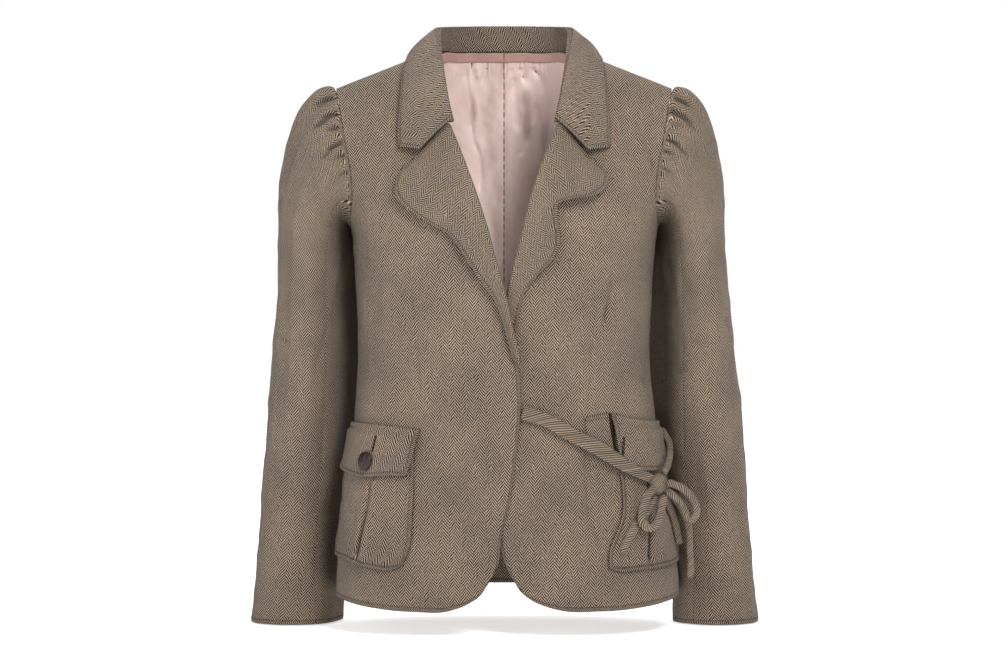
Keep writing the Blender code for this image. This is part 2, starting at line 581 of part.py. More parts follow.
def pocket(name, side, paint):
    if side < 0:
        edges = (
            table_edge([(0, 30.2, -0.5470), (0.15, 28.2, -0.5330), (0.5, 27.7, -0.4900), (1, 29.0, -0.4150)]),
            table_edge([(0, 80, -0.5420), (0.5, 80, -0.4800), (1, 80, -0.4150)]),
            table_edge([(0, 30.2, -0.5470), (0.1, 34.0, -0.5520), (0.3, 44.0, -0.5510), (0.6, 60.0, -0.5445), (1, 80, -0.5420)]),
            table_edge([(0, 29.0, -0.4150), (1, 80, -0.4150)]),
        )
        centre = 0.42
    else:
        edges = (
            table_edge([(0, 31.0, -0.5490), (0.15, 31.4, -0.5330), (0.5, 38.0, -0.4900), (1, 38.4, -0.4100)]),
            table_edge([(0, 80, -0.5470), (0.5, 80, -0.4800), (1, 80, -0.4100)]),
            table_edge([(0, 31.0, -0.5490), (0.1, 34.0, -0.5530), (0.3, 45.0, -0.5525), (0.6, 60.0, -0.5505), (1, 80, -0.5470)]),
            table_edge([(0, 38.4, -0.4100), (1, 80, -0.4100)]),
        )
        centre = 0.36

    def outer(u, v):
        fold = np.exp(-((u - centre) / 0.035) ** 2)
        shoulder = np.exp(-((np.abs(u - centre) - 0.09) / 0.05) ** 2)
        return 0.0010 + CLOTH + 0.0007 * shoulder - 0.0010 * fold

    def inner(u, v):
        return np.full_like(u, 0.0010)

    near = np.array([-0.28, -0.14, -0.08, -0.035, 0.0, 0.035, 0.08, 0.14, 0.28, 0.44])
    columns = np.concatenate([[0], centre + near, [1]])
    return on_front(name, side, edges, outer, inner, paint, columns, 8)


def flap(name, side, paint):
    if side < 0:
        low = [(0, 30.6, -0.4530), (0.25, 42.0, -0.4535), (0.4, 49.0, -0.4555), (0.7, 66.0, -0.4520), (1, 84, -0.4460)]
        front_side = [(0, 30.6, -0.4530), (0.25, 29.4, -0.4410), (1, 27.4, -0.4030)]
        high = [(0, 27.4, -0.4030), (0.4, 46.0, -0.3985), (1, 84, -0.3970)]
        last = [(0, 84, -0.4460), (1, 84, -0.3970)]
    else:
        low = [(0, 37.6, -0.4440), (0.4, 52.0, -0.4490), (0.8, 72.0, -0.4480), (1, 84, -0.4440)]
        front_side = [(0, 37.6, -0.4440), (0.4, 37.0, -0.4200), (1, 36.3, -0.3860)]
        high = [(0, 36.3, -0.3860), (0.4, 52.0, -0.3925), (1, 84, -0.3960)]
        last = [(0, 84, -0.4440), (1, 84, -0.3960)]
    edges = (table_edge(front_side), table_edge(last), table_edge(low), table_edge(high))

    def outer(u, v):
        return inner(u, v) + CLOTH + 0.0008 * np.exp(-((v - 0.95) / 0.05) ** 2)

    def inner(u, v):
        return 0.0010 + 0.0036 * soft(-v, -0.95, -0.80) + 0.0012 * soft(-v, -0.5, 0.0)

    return on_front(name, side, edges, outer, inner, paint, np.linspace(0, 1, 11), 9)


def button(name, paint):
    """Turned disc with a raised rim and a sunk middle, on the visible flap."""
    angle = np.radians(-50.4)
    z = np.array(-0.4383)
    out = outward(angle, z)
    middle = body(angle, z) + out * 0.0079
    across = unit(np.cross(np.array([0, 0, 1.0]), out))
    up = np.cross(out, across)
    # profile: share of the radius, height over the back
    profile = np.array([
        (0.02, 0.0000), (0.80, 0.0000), (0.97, 0.0010), (1.00, 0.0018), (0.97, 0.0029), (0.88, 0.0033),
        (0.76, 0.0030), (0.66, 0.0022), (0.40, 0.0019), (0.02, 0.0019),
    ])
    turn = np.linspace(0, 2 * np.pi, 20, endpoint=False)
    ring = across * np.cos(turn)[:, None] + up * np.sin(turn)[:, None]
    grid = middle + ring[None] * (profile[:, 0] * BUTTON / 2)[:, None, None] + out * profile[:, 1][:, None, None]
    points = np.concatenate([grid.reshape(-1, 3), [middle], [middle + out * 0.0019]])
    count = len(turn)
    index = np.arange(len(profile) * count).reshape(len(profile), count)
    wrapped = np.concatenate([index, index[:, :1]], 1)
    quads = np.stack([wrapped[:-1, :-1], wrapped[:-1, 1:], wrapped[1:, 1:], wrapped[1:, :-1]], -1).reshape(-1, 4)
    low = [[int(wrapped[0, k + 1]), int(wrapped[0, k]), index.size] for k in range(count)]
    high = [[int(wrapped[-1, k]), int(wrapped[-1, k + 1]), index.size + 1] for k in range(count)]
    mesh = bpy.data.meshes.new(name)
    mesh.from_pydata(points.tolist(), [], quads.tolist() + low + high)
    mesh.update()
    mesh.materials.append(paint)
    made = bpy.data.objects.new(name, mesh)
    bpy.context.collection.objects.link(made)
    return made


def band(name, paint):
    """Flattened tube of the tie, drawn from the front edge across the under front to the knot."""
    # path: share, x, z, lift of its underside
    path = np.array([
        (0.00, 0.0190, -0.3845, 0.0006), (0.20, 0.0460, -0.3940, 0.0012), (0.42, 0.0700, -0.4090, 0.0046),
        (0.62, 0.0965, -0.4235, 0.0076), (0.80, 0.1212, -0.4405, 0.0080), (0.92, 0.1360, -0.4500, 0.0086),
        (1.00, 0.1484, -0.4575, 0.0090),
    ])
    rows = through(path[:, 0], path[:, 1:], np.linspace(0, 1, 17))
    slope = np.gradient(rows[:, 1]) / np.gradient(rows[:, 0])
    half = BAND_WIDTH / 2 * (1 - 0.35 * soft(np.linspace(0, 1, 17), 0.7, 1.0))
    grids = []
    for bulge, level in ((1, 1), (0, 0)):
        columns = []
        for t in (-1, -0.72, -0.3, 0.3, 0.72, 1):
            x = rows[:, 0] - slope * half * t / np.sqrt(1 + slope ** 2)
            z = rows[:, 1] + half * t / np.sqrt(1 + slope ** 2)
            round_off = BAND_DEEP / 2 * (1 - np.sqrt(max(0, 1 - (t * 0.97) ** 2)))
            lift = rows[:, 2] + (BAND_DEEP - round_off if level else round_off)
            points = lifted(angle_at(x, z), z, lift)
            columns.append(points - np.array([0, SEAM / 2, 0]))
        grids.append(np.array(columns).transpose(1, 0, 2))
    return solid(name, grids[0], grids[1], paint)


def on_left(rows):
    """Points over the wearer's left front from rows of (degrees round the body, height, lift)."""
    rows = np.array(rows)
    return lifted(np.radians(rows[:, 0]), rows[:, 1], rows[:, 2])


def reach(rows, tree):
    """Rows of a cord with each end near the knot moved along the cord until its rim almost touches it."""
    rows = np.array(rows, dtype=float)
    turn = np.linspace(0, 2 * np.pi, 16, endpoint=False)[:, None]
    for end, neighbour in ((0, 1), (-1, -2)):
        direction = unit(rows[end] - rows[neighbour])
        across = unit(np.cross(direction, np.array([0.3, 0.2, 1.0])))
        ring = (across * np.cos(turn) + np.cross(direction, across) * np.sin(turn)) * CORD / 2
        rim = np.concatenate([ring, [[0, 0, 0]]]) + rows[end]
        if tree.find_nearest(Vector(rows[end]))[3] > 0.012:
            continue
        for move in np.arange(-0.003, 0.010, 0.0001):
            if min(tree.find_nearest(Vector(point))[3] for point in rim + direction * move) < SEAM:
                break
        rows[end] += direction * move
    return rows


def strand(name, rows, paint, count=13):
    """Round cord through rows of (x, y, z), its ends brought to the knot."""
    rows = reach(rows, KNOT_TREE)
    length = np.concatenate([[0], np.cumsum(np.linalg.norm(np.diff(rows, axis=0), axis=1))])
    points = through(length, rows, np.linspace(0, length[-1], count))
    curve = bpy.data.curves.new(name, "CURVE")
    curve.dimensions = "3D"
    curve.bevel_depth = CORD / 2
    curve.bevel_resolution = 2
    curve.use_fill_caps = True
    line = curve.splines.new("POLY")
    line.points.add(count - 1)
    line.points.foreach_set("co", np.concatenate([points, np.ones((count, 1))], 1).ravel())
    curve.materials.append(paint)
    made = bpy.data.objects.new(name, curve)
    bpy.context.collection.objects.link(made)
    return made


def knot(name, centre, paint):
    """Lumpy knot of the tie."""
    rows = np.linspace(0.08, np.pi - 0.08, 10)[:, None]
    turn = np.linspace(0, 2 * np.pi, 16, endpoint=False)[None]
    swell = 1 + 0.10 * np.cos(2 * turn + 0.8) * np.sin(rows) ** 2 - 0.10 * np.exp(-((rows - 1.75) / 0.25) ** 2)
    x = 0.0120 * np.sin(rows) * np.cos(turn) * swell
    y = 0.0075 * np.sin(rows) * np.sin(turn) * swell
    z = 0.0115 * np.cos(rows) + 0 * turn
    grid = np.stack([x, y, z], -1)
    lean = np.radians(58)
    turned = np.stack([grid[..., 0] * np.cos(lean) - grid[..., 1] * np.sin(lean),
                       grid[..., 0] * np.sin(lean) + grid[..., 1] * np.cos(lean), grid[..., 2]], -1) + centre
    points = turned.reshape(-1, 3)
    index = np.arange(len(points)).reshape(turned.shape[:2])
    wrapped = np.concatenate([index, index[:, :1]], 1)
    quads = np.stack([wrapped[:-1, :-1], wrapped[1:, :-1], wrapped[1:, 1:], wrapped[:-1, 1:]], -1).reshape(-1, 4)
    caps = [index[0].tolist(), index[-1][::-1].tolist()]
    mesh = bpy.data.meshes.new(name)
    mesh.from_pydata(points.tolist(), [], quads.tolist() + caps)
    mesh.update()
    mesh.materials.append(paint)
    mesh.polygons.foreach_set("use_smooth", np.ones(len(mesh.polygons), dtype=bool))
    made = bpy.data.objects.new(name, mesh)
    bpy.context.collection.objects.link(made)
    return made


def lining(name, paint):
    """Satin back lining just inside the back, with a soft pleat down its centre."""
    where = back_grid()[2:-1, 1:-1]
    pleat = 0.0022 * np.exp(-(np.degrees(where[..., 0]) / 2.2) ** 2)
    deep = -CLOTH - 0.0024 - pleat
    move = np.array([0, SEAM / 2, 0])
    outer = lifted(where[..., 0], where[..., 1], deep, True) + move
    inner = lifted(where[..., 0], where[..., 1], deep - LINING, True) + move
    return solid(name, outer, inner, paint)


for scene_object in list(bpy.data.objects):
    bpy.data.objects.remove(scene_object)

tweed = material("tweed", (0.215, 0.165, 0.118), 0.95)
satin = material("satin", (0.66, 0.49, 0.43), 0.42)
plum = material("button", (0.062, 0.036, 0.034), 0.30)

front("front_right", -1, tweed)
front("front_left", 1, tweed)
back("back", tweed)
QUARTERS = 180 * ARMHOLE_SHARES[ARMHOLE_SHARES < SEAM_SHARE + 1e-6]
QUARTERS[-1] -= 0.30
TOP_TURNS = np.concatenate([-QUARTERS[:0:-1], QUARTERS])
REST = 180 * ARMHOLE_SHARES[ARMHOLE_SHARES > SEAM_SHARE - 1e-6]
REST[0] += 0.30
UNDER_TURNS = np.concatenate([REST, 360 - REST[-2::-1]])
for side, label in ((-1, "right"), (1, "left")):
    sleeve("sleeve_" + label + "_top", side, TOP_TURNS, tweed)
    sleeve("sleeve_" + label + "_under", side, UNDER_TURNS, tweed)
    lapel("lapel_" + label, side, tweed)
    pocket("pocket_" + label, side, tweed)
    flap("flap_" + label, side, tweed)
collar("collar", tweed)
button("button", plum)
band("tie_band", tweed)
tied = knot("tie_knot", on_left([(56.5, -0.4640, 0.0110)])[0], tweed)
KNOT_TREE = BVHTree.FromPolygons([corner.co for corner in tied.data.vertices],
                                 [tuple(face.vertices) for face in tied.data.polygons])
strand("tie_side", on_left([
    (87.5, -0.4060, 0.0050), (84.0, -0.4200, 0.0108), (76.0, -0.4330, 0.0120), (67.0, -0.4440, 0.0132),
    (62.0, -0.4490, 0.0150),
]), tweed, 9)
strand("tie_loop_inner", on_left([
    (49.6, -0.4710, 0.0150), (47.5, -0.4750, 0.0145), (45.5, -0.4820, 0.0150), (43.0, -0.4930, 0.0160),
    (42.8, -0.5035, 0.0165), (45.5, -0.5090, 0.0160), (49.0, -0.5060, 0.0160), (51.5, -0.4980, 0.0160),
    (54.0, -0.4880, 0.0155), (56.5, -0.4785, 0.0150),
]), tweed, 19)
strand("tie_tail_inner", on_left([
    (54.5, -0.4770, 0.0076), (50.0, -0.4870, 0.0078), (45.0, -0.4980, 0.0078), (40.0, -0.5100, 0.0080),
    (37.0, -0.5220, 0.0082), (34.6, -0.5335, 0.0085),
]), tweed, 10)
strand("tie_tail_middle", on_left([
    (61.4, -0.4800, 0.0098), (65.5, -0.4890, 0.0084), (69.5, -0.5010, 0.0080), (72.0, -0.5150, 0.0080),
    (73.0, -0.5300, 0.0082),
]), tweed, 8)
strand("tie_loop_outer", [
    (0.1800, -0.0800, -0.4620), (0.1900, -0.0800, -0.4660), (0.1990, -0.0785, -0.4735), (0.2052, -0.0765, -0.4840),
    (0.2060, -0.0750, -0.4945), (0.2000, -0.0730, -0.5010), (0.1952, -0.0715, -0.4945), (0.1920, -0.0715, -0.4850),
    (0.1860, -0.0735, -0.4780), (0.1800, -0.0770, -0.4735),
], tweed, 19)
strand("tie_tail_outer", [
    (0.1822, -0.0676, -0.4766), (0.1895, -0.0590, -0.4860), (0.1960, -0.0490, -0.4980), (0.2004, -0.0430, -0.5126),
    (0.2015, -0.0395, -0.5341), (0.2025, -0.0385, -0.5503), (0.2015, -0.0390, -0.5664),
], tweed, 11)
lining("lining_back", satin)
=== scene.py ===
"""Short tweed jacket with a tie waist: its fine cloth, satin lining, button and tie, in a pale studio.

Laid out as an add-on with one operator for each group of pieces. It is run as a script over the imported
model, whose solids give every place. All sizes are metres: +Z up, the front faces -Y, the wearer's right
is at -X, and the origin lies at the base of the neck.
"""
import bpy
import numpy as np
from bpy.props import FloatProperty, FloatVectorProperty, PointerProperty
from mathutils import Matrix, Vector
from mathutils.bvhtree import BVHTree


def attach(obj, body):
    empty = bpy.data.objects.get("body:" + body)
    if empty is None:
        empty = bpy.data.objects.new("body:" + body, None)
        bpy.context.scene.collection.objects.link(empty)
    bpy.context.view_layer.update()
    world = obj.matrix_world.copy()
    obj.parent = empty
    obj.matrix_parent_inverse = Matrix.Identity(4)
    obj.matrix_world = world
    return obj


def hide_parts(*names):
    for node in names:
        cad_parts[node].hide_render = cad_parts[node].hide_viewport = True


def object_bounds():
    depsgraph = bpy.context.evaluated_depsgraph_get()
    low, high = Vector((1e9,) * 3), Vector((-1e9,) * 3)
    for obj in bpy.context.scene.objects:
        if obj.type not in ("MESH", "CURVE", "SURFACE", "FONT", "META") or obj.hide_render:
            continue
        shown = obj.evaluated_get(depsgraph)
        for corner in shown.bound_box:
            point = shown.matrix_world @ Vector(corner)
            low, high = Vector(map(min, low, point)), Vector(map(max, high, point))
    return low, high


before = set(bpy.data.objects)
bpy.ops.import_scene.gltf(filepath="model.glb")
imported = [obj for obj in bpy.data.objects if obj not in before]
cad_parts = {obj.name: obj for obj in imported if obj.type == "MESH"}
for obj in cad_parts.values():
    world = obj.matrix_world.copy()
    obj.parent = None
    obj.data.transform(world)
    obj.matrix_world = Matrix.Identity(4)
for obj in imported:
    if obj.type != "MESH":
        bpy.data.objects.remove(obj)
CAD_BOX = [list(corner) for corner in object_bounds()]

bl_info = {
    "name": "Tie-waist tweed jacket",
    "version": (1, 0, 0),
    "blender": (4, 5, 0),
    "location": "3D View > Sidebar > Jacket",
    "description": "Fine cloth, lining, button and tie of a short tweed jacket, with a pale studio",
    "category": "Object",
}

# the wearer's sides by the sign of x
SIDES = {-1: "right", 1: "left"}
# gap left at a sewn seam
SEAM = 0.0004
# how square the body is, and how its shoulders round over to the front and to the back
CROSSWAY = 0.05
SHOULDER_ROUND = 0.16
FRONT_POWER = 1.7
BACK_POWER = 2.2
# heights of the hem at the side, of the underarm, of the cuffs and of the foot of a sleeve's head
HEM = -0.586
UNDERARM = -0.187
CUFF = -0.622
HEAD_FOOT = -0.215
# shares: of a side edge below the underarm, of a half turn to a sleeve's seam, of the back's top at the neck
UNDERARM_AT = 0.62
SEAM_SHARE = 0.70
NECK_SHARE = 0.52
# length of arc of one degree round a sleeve, and the degrees left free beside each of its seams
DEGREE = 0.0007
SEAM_TURN = 0.30
# widest fold that counts as a crease, and how strongly painted shade darkens a panel's creases
CREASE_WIDTH = 0.0043
CREASE_SHADE = 0.42
# least share of felted yarn on the tie and on the lapels
TIE_FELT = 0.42
LAPEL_FELT = 0.30
# how far a pocket or a flap stands off its panel, and how far a flat strip does
ON_PANEL = 0.0010
STRIP_LIFT = 0.0006
# distance that stands for no turned edge nearby
FAR = 1.0
# how much finer the fronts' grid of points is than the other pieces'
FRONT_FINER = 1.45
# share by which a shell's two sides draw together at its rim
PINCH = 0.45
# how near the knot an end of a strap belongs to it, and the moves tried along the strap: first, last, step
NEAR_KNOT = 0.012
REACH = (-0.003, 0.010, 0.0001)
# which way a strap's flat faces in front and, from a distance from the centre on, at the side
FACING_FRONT = (0.25, -0.95, 0.05)
FACING_SIDE = (0.55, -0.80, 0.05)
SIDE_FROM = 0.16
# points round a strap, and over the worked loop's length and thickness
STRAP_TURNS = 32
LOOP_STEPS = 96
LOOP_TURNS = 10
# how far the paper reaches each way, and its grid lines
PAPER_REACH = 9.0
PAPER_LINES = 19
# lights, turned to the jacket's middle: name, size, watts, place, colour
JACKET_MIDDLE = (0, 0, -0.30)
LIGHTS = (
    ("key", (0.7, 0.7), 49, (0.75, -2.0, 1.15), (1.0, 0.985, 0.965)),
    ("fill", (1.4, 1.8), 23, (-1.6, -1.9, 0.2), (0.97, 0.985, 1.0)),
    ("top", (1.8, 1.8), 27, (0.1, 0.35, 1.9), (1, 1, 1)),
    ("back", (1.8, 1.8), 34, (0.5, 2.9, 2.0), (1, 1, 1)),
)
ROOM_LIGHT = 0.25
# camera: place, and focal length in millimetres
CAMERA_AT = (0, -2.9, -0.3036)
CAMERA_LENS = 94.16
# pitches: yarn over a turned edge, hem stitches, the lining seam's stitches, satin threads across and along
FOLD_PITCH = 0.0023
HEM_STITCH = 0.0034
SEAM_STITCH = 0.0100
SATIN_WARP = 0.00055
SATIN_WEFT = 0.00042

# body rings: height, centre, half width, front depth, back depth
RINGS = np.array([
    (-0.64, 0.004, 0.192, 0.121, 0.124), (-0.595, 0.004, 0.189, 0.12, 0.122),
    (-0.55, 0.0035, 0.186, 0.119, 0.121), (-0.484, 0.0025, 0.178, 0.115, 0.116),
    (-0.44, 0.001, 0.172, 0.111, 0.106), (-0.4, 0.001, 0.166, 0.107, 0.097),
    (-0.36, 0, 0.162, 0.106, 0.091), (-0.32, 0, 0.16, 0.11, 0.09), (-0.264, 0, 0.162, 0.121, 0.094),
    (-0.215, 0, 0.165, 0.13, 0.101), (-0.187, 0, 0.168, 0.131, 0.106), (-0.16, 0, 0.179, 0.129, 0.11),
    (-0.13, 0, 0.196, 0.124, 0.112), (-0.1, 0, 0.208, 0.119, 0.111), (-0.07, 0, 0.212, 0.115, 0.107),
    (-0.02, 0, 0.213, 0.113, 0.099), (0.02, 0, 0.213, 0.112, 0.088), (0.08, 0, 0.213, 0.112, 0.08),
])
# top line of the shoulders and neck: distance from the centre, height
RIDGE = np.array([
    (0, 0.076), (0.03, 0.074), (0.055, 0.05), (0.072, 0.017), (0.086, 0.0055), (0.1, 0.0005),
    (0.14, -0.0145), (0.183, -0.0305), (0.215, -0.043),
])
# opening edge of each front, from the rounded corner to the neck: height, distance to the own side
EDGE_RIGHT = np.array([
    (-0.566, 0.0169), (-0.5449, 0.0063), (-0.5187, 0.0032), (-0.4767, -0.0063), (-0.4241, -0.0137),
    (-0.3714, -0.0178), (-0.3375, -0.0156), (-0.3163, -0.0112), (-0.2973, -0.0062), (-0.2541, 0.0033),
    (-0.2259, 0.0116), (-0.19, 0.0215), (-0.1523, 0.0337), (-0.1129, 0.0482), (-0.0773, 0.0611),
    (-0.0354, 0.0692), (-0.0054, 0.0742), (0.006, 0.077), (0.0125, 0.0785),
])
EDGE_LEFT = np.array([
    (-0.5733, 0.0169), (-0.5502, 0.0036), (-0.5187, -0.006), (-0.4767, -0.011), (-0.4241, -0.015),
    (-0.3714, -0.016), (-0.33, -0.009), (-0.2973, 0), (-0.2541, 0.008), (-0.2259, 0.0145), (-0.19, 0.0235),
    (-0.1523, 0.0337), (-0.1129, 0.0475), (-0.0773, 0.0602), (-0.0354, 0.0681), (-0.0054, 0.0735),
    (0.006, 0.0768), (0.0125, 0.0785),
])
# front hems from the corner to the side seam: angle round the body in degrees, height
HEM_RIGHT = np.array([
    (4.3, -0.566), (6.4, -0.5775), (9.1, -0.585), (14.6, -0.5935), (26.8, -0.5955), (42.6, -0.593),
    (63.4, -0.5885), (90, HEM),
])
HEM_LEFT = np.array([
    (4.3, -0.5733), (6.9, -0.5818), (11, -0.5892), (15.2, -0.5935), (27.5, -0.595), (49, -0.591),
    (62, -0.588), (90, HEM),
])
# armhole from the shoulder to the underarm: share of its length, front angle, back angle, height
ARMHOLE = np.array([
    (0, 54.2, 54.2, -0.0312), (0.13, 51, 53.5, -0.056), (0.25, 49.3, 52.8, -0.0817),
    (0.38, 48.6, 53, -0.104), (0.5, 50, 54.5, -0.126), (0.62, 55, 59, -0.147), (0.76, 65, 68, -0.168),
    (0.9, 79, 80, -0.183), (1, 90, 90, UNDERARM),
])
# sleeve rings: height, outer x, inner x, middle y, half depth, all to the own side
SLEEVE_RIGHT = np.array([
    (-0.205, 0.246, 0.1765, 0.002, 0.0755), (-0.264, 0.2468, 0.179, 0.006, 0.071),
    (-0.32, 0.253, 0.1775, 0.013, 0.066), (-0.374, 0.258, 0.179, 0.021, 0.0615),
    (-0.43, 0.2635, 0.183, 0.03, 0.056), (-0.484, 0.268, 0.189, 0.038, 0.052),
    (-0.54, 0.2725, 0.192, 0.045, 0.049), (-0.595, 0.2785, 0.19, 0.05, 0.047),
    (-0.622, 0.2815, 0.1895, 0.051, 0.046),
])
SLEEVE_LEFT = np.array([
    (-0.205, 0.24, 0.177, 0.002, 0.0755), (-0.264, 0.2465, 0.181, 0.006, 0.071),
    (-0.32, 0.2525, 0.181, 0.013, 0.066), (-0.374, 0.2595, 0.18, 0.021, 0.0615),
    (-0.43, 0.2655, 0.18, 0.03, 0.056), (-0.484, 0.2695, 0.186, 0.038, 0.052),
    (-0.54, 0.2745, 0.191, 0.045, 0.049), (-0.595, 0.2795, 0.1915, 0.05, 0.047),
    (-0.622, 0.283, 0.191, 0.051, 0.046),
])
# how a sleeve leaves the armhole: degrees from its top, outwards, away from the middle, upwards, fall
HEAD = np.array([
    (0, 0.105, 0, 0.032, 0.15), (45, 0.09, 0.022, 0.02, 0.13), (90, 0.066, 0.024, -0.008, 0.095),
    (135, 0.05, 0.008, 0.002, 0.055), (180, 0.036, 0, 0.02, 0.04),
])
# lapels from the gorge down: height on the opening edge, outer edge x, outer edge z, roll, lift at the edge
LAPEL_RIGHT = np.array([
    (-0.0815, 0.1068, -0.128, 0.003, 0.0034), (-0.1, 0.1122, -0.139, 0.003, 0.004),
    (-0.125, 0.1118, -0.156, 0.003, 0.006), (-0.15, 0.0985, -0.1705, 0.003, 0.0095),
    (-0.172, 0.0778, -0.1858, 0.003, 0.007), (-0.195, 0.0588, -0.1964, 0.003, 0.0042),
    (-0.218, 0.043, -0.217, 0.0028, 0.006), (-0.24, 0.0273, -0.2405, 0.0026, 0.007),
    (-0.264, 0.0135, -0.26, 0.0025, 0.0052), (-0.285, 0.004, -0.28, 0.0024, 0.0046),
    (-0.31, -0.002, -0.302, 0.0022, 0.004), (-0.334, -0.009, -0.328, 0.002, 0.0036),
])
LAPEL_LEFT = np.array([
    (-0.0815, 0.1057, -0.1285, 0.003, 0.0034), (-0.098, 0.1088, -0.139, 0.003, 0.004),
    (-0.118, 0.103, -0.151, 0.003, 0.008), (-0.135, 0.0895, -0.1583, 0.003, 0.013),
    (-0.15, 0.07, -0.161, 0.003, 0.014), (-0.165, 0.057, -0.165, 0.003, 0.008),
    (-0.182, 0.056, -0.178, 0.0029, 0.0042), (-0.2, 0.0585, -0.195, 0.0027, 0.005),
    (-0.218, 0.057, -0.211, 0.0026, 0.008), (-0.236, 0.047, -0.227, 0.0025, 0.0062),
    (-0.254, 0.033, -0.243, 0.0023, 0.0048), (-0.272, 0.0225, -0.258, 0.0021, 0.0042),
    (-0.29, 0.017, -0.277, 0.002, 0.0038), (-0.306, 0.015, -0.296, 0.002, 0.0036),
])
# collar from the centre back to the gorge: neck seam x z, fold x y z, turn, rise, leaf edge x y z, bow
COLLAR = np.array([
    (0, 0.0175, 0, 0.08, 0.0427, 90, 0, 0, 0.0955, -0.013, 0.006),
    (0.035, 0.0165, 0.035, 0.0735, 0.042, 68, 0, 0.05, 0.088, -0.013, 0.006),
    (0.06, 0.0145, 0.058, 0.052, 0.039, 42, 0, 0.08, 0.064, -0.011, 0.005),
    (0.074, 0.0134, 0.0705, 0.023, 0.0345, 16, 4, 0.096, 0.039, -0.003, 0.004),
    (0.0785, 0.0125, 0.074, -0.004, 0.0285, -8, 10, 0.1035, 0, 0.004, 0.004),
    (0.0768, 0.006, 0.0738, -0.029, 0.0165, -30, 20, 0.108, -0.033, -0.0085, 0.005),
    (0.0738, -0.0054, 0.0715, -0.052, -0.001, -52, 30, 0.1105, -0.053, -0.0265, 0.006),
    (0.0686, -0.0354, 0.066, -0.086, -0.034, -68, 34, 0.112, -0.078, -0.056, 0.0065),
    (0.0645, -0.0583, 0.0615, -0.103, -0.0575, -72, 30, 0.113, -0.0915, -0.08, 0.0065),
    (0.0606, -0.0773, 0.057, -0.114, -0.0765, -75, 26, 0.113, -0.102, -0.104, 0.0065),
])


# folds of a front, x on its own side: from x z, to x z, bow, width, height; a trough is negative
FOLDS_RIGHT = np.array([
    (0.101, -0.22, 0.092, -0.294, 0.002, 0.002, -0.0011),
    (0.092, -0.294, 0.0868, -0.398, 0, 0.0019, -0.0012), (0.099, -0.265, 0.0945, -0.372, 0, 0.0055, 0.0011),
    (0.1375, -0.245, 0.14, -0.32, 0, 0.007, -0.0017), (0.056, -0.37, -0.012, -0.3735, 0, 0.002, -0.001),
    (0.054, -0.364, -0.011, -0.368, 0, 0.004, 0.0007), (0.038, -0.39, -0.011, -0.389, 0, 0.002, -0.0007),
    (-0.008, -0.38, 0.074, -0.42, 0.004, 0.008, 0.0009),
    (0.133, -0.078, 0.123, -0.164, 0.003, 0.007, -0.0016), (0.148, -0.07, 0.138, -0.135, 0, 0.005, 0.001),
    (0.056, -0.445, 0.052, -0.572, 0.002, 0.013, -0.0017), (0.026, -0.41, 0.028, -0.55, 0, 0.011, 0.0012),
    (0.076, -0.26, 0.07, -0.36, 0, 0.013, 0.0014), (0.118, -0.29, 0.112, -0.38, -0.003, 0.006, -0.0012),
    (0.03, -0.3, 0.07, -0.34, 0.005, 0.009, -0.0012), (0.13, -0.17, 0.095, -0.205, 0.004, 0.008, -0.001),
])
FOLDS_LEFT = np.array([
    (0.1143, -0.238, 0.1037, -0.2994, 0.001, 0.0026, -0.0019),
    (0.1085, -0.248, 0.0984, -0.2975, 0.001, 0.004, 0.0015),
    (0.1016, -0.2655, 0.0973, -0.304, 0, 0.0022, -0.0013),
    (0.091, -0.304, 0.0931, -0.34, 0, 0.0021, -0.0013),
    (0.0931, -0.339, 0.0889, -0.384, 0, 0.0021, -0.0013), (0.0857, -0.42, 0.085, -0.46, 0, 0.0023, -0.0014),
    (0.0848, -0.455, 0.0905, -0.5, 0, 0.0023, -0.0014),
    (0.09, -0.495, 0.1016, -0.54, 0.003, 0.0023, -0.0013), (0.08, -0.44, 0.086, -0.52, 0, 0.006, 0.001),
    (0.13, -0.064, 0.1435, -0.118, -0.003, 0.0045, -0.0019),
    (0.137, -0.062, 0.15, -0.115, 0, 0.0045, 0.0012), (0.156, -0.1, 0.16, -0.13, 0, 0.003, -0.0014),
    (0.144, -0.344, 0.16, -0.37, 0.002, 0.0035, -0.0012),
    (0.0434, -0.3925, 0.0487, -0.5406, 0, 0.012, -0.0015),
    (0.0645, -0.403, 0.0614, -0.551, 0, 0.011, 0.0013), (0.038, -0.28, 0.0466, -0.371, 0, 0.011, 0.0011),
    (0.12, -0.305, 0.128, -0.37, 0.002, 0.007, -0.0014), (0.07, -0.24, 0.08, -0.32, 0, 0.011, 0.0012),
    (0.133, -0.19, 0.118, -0.235, 0.003, 0.007, -0.001),
])
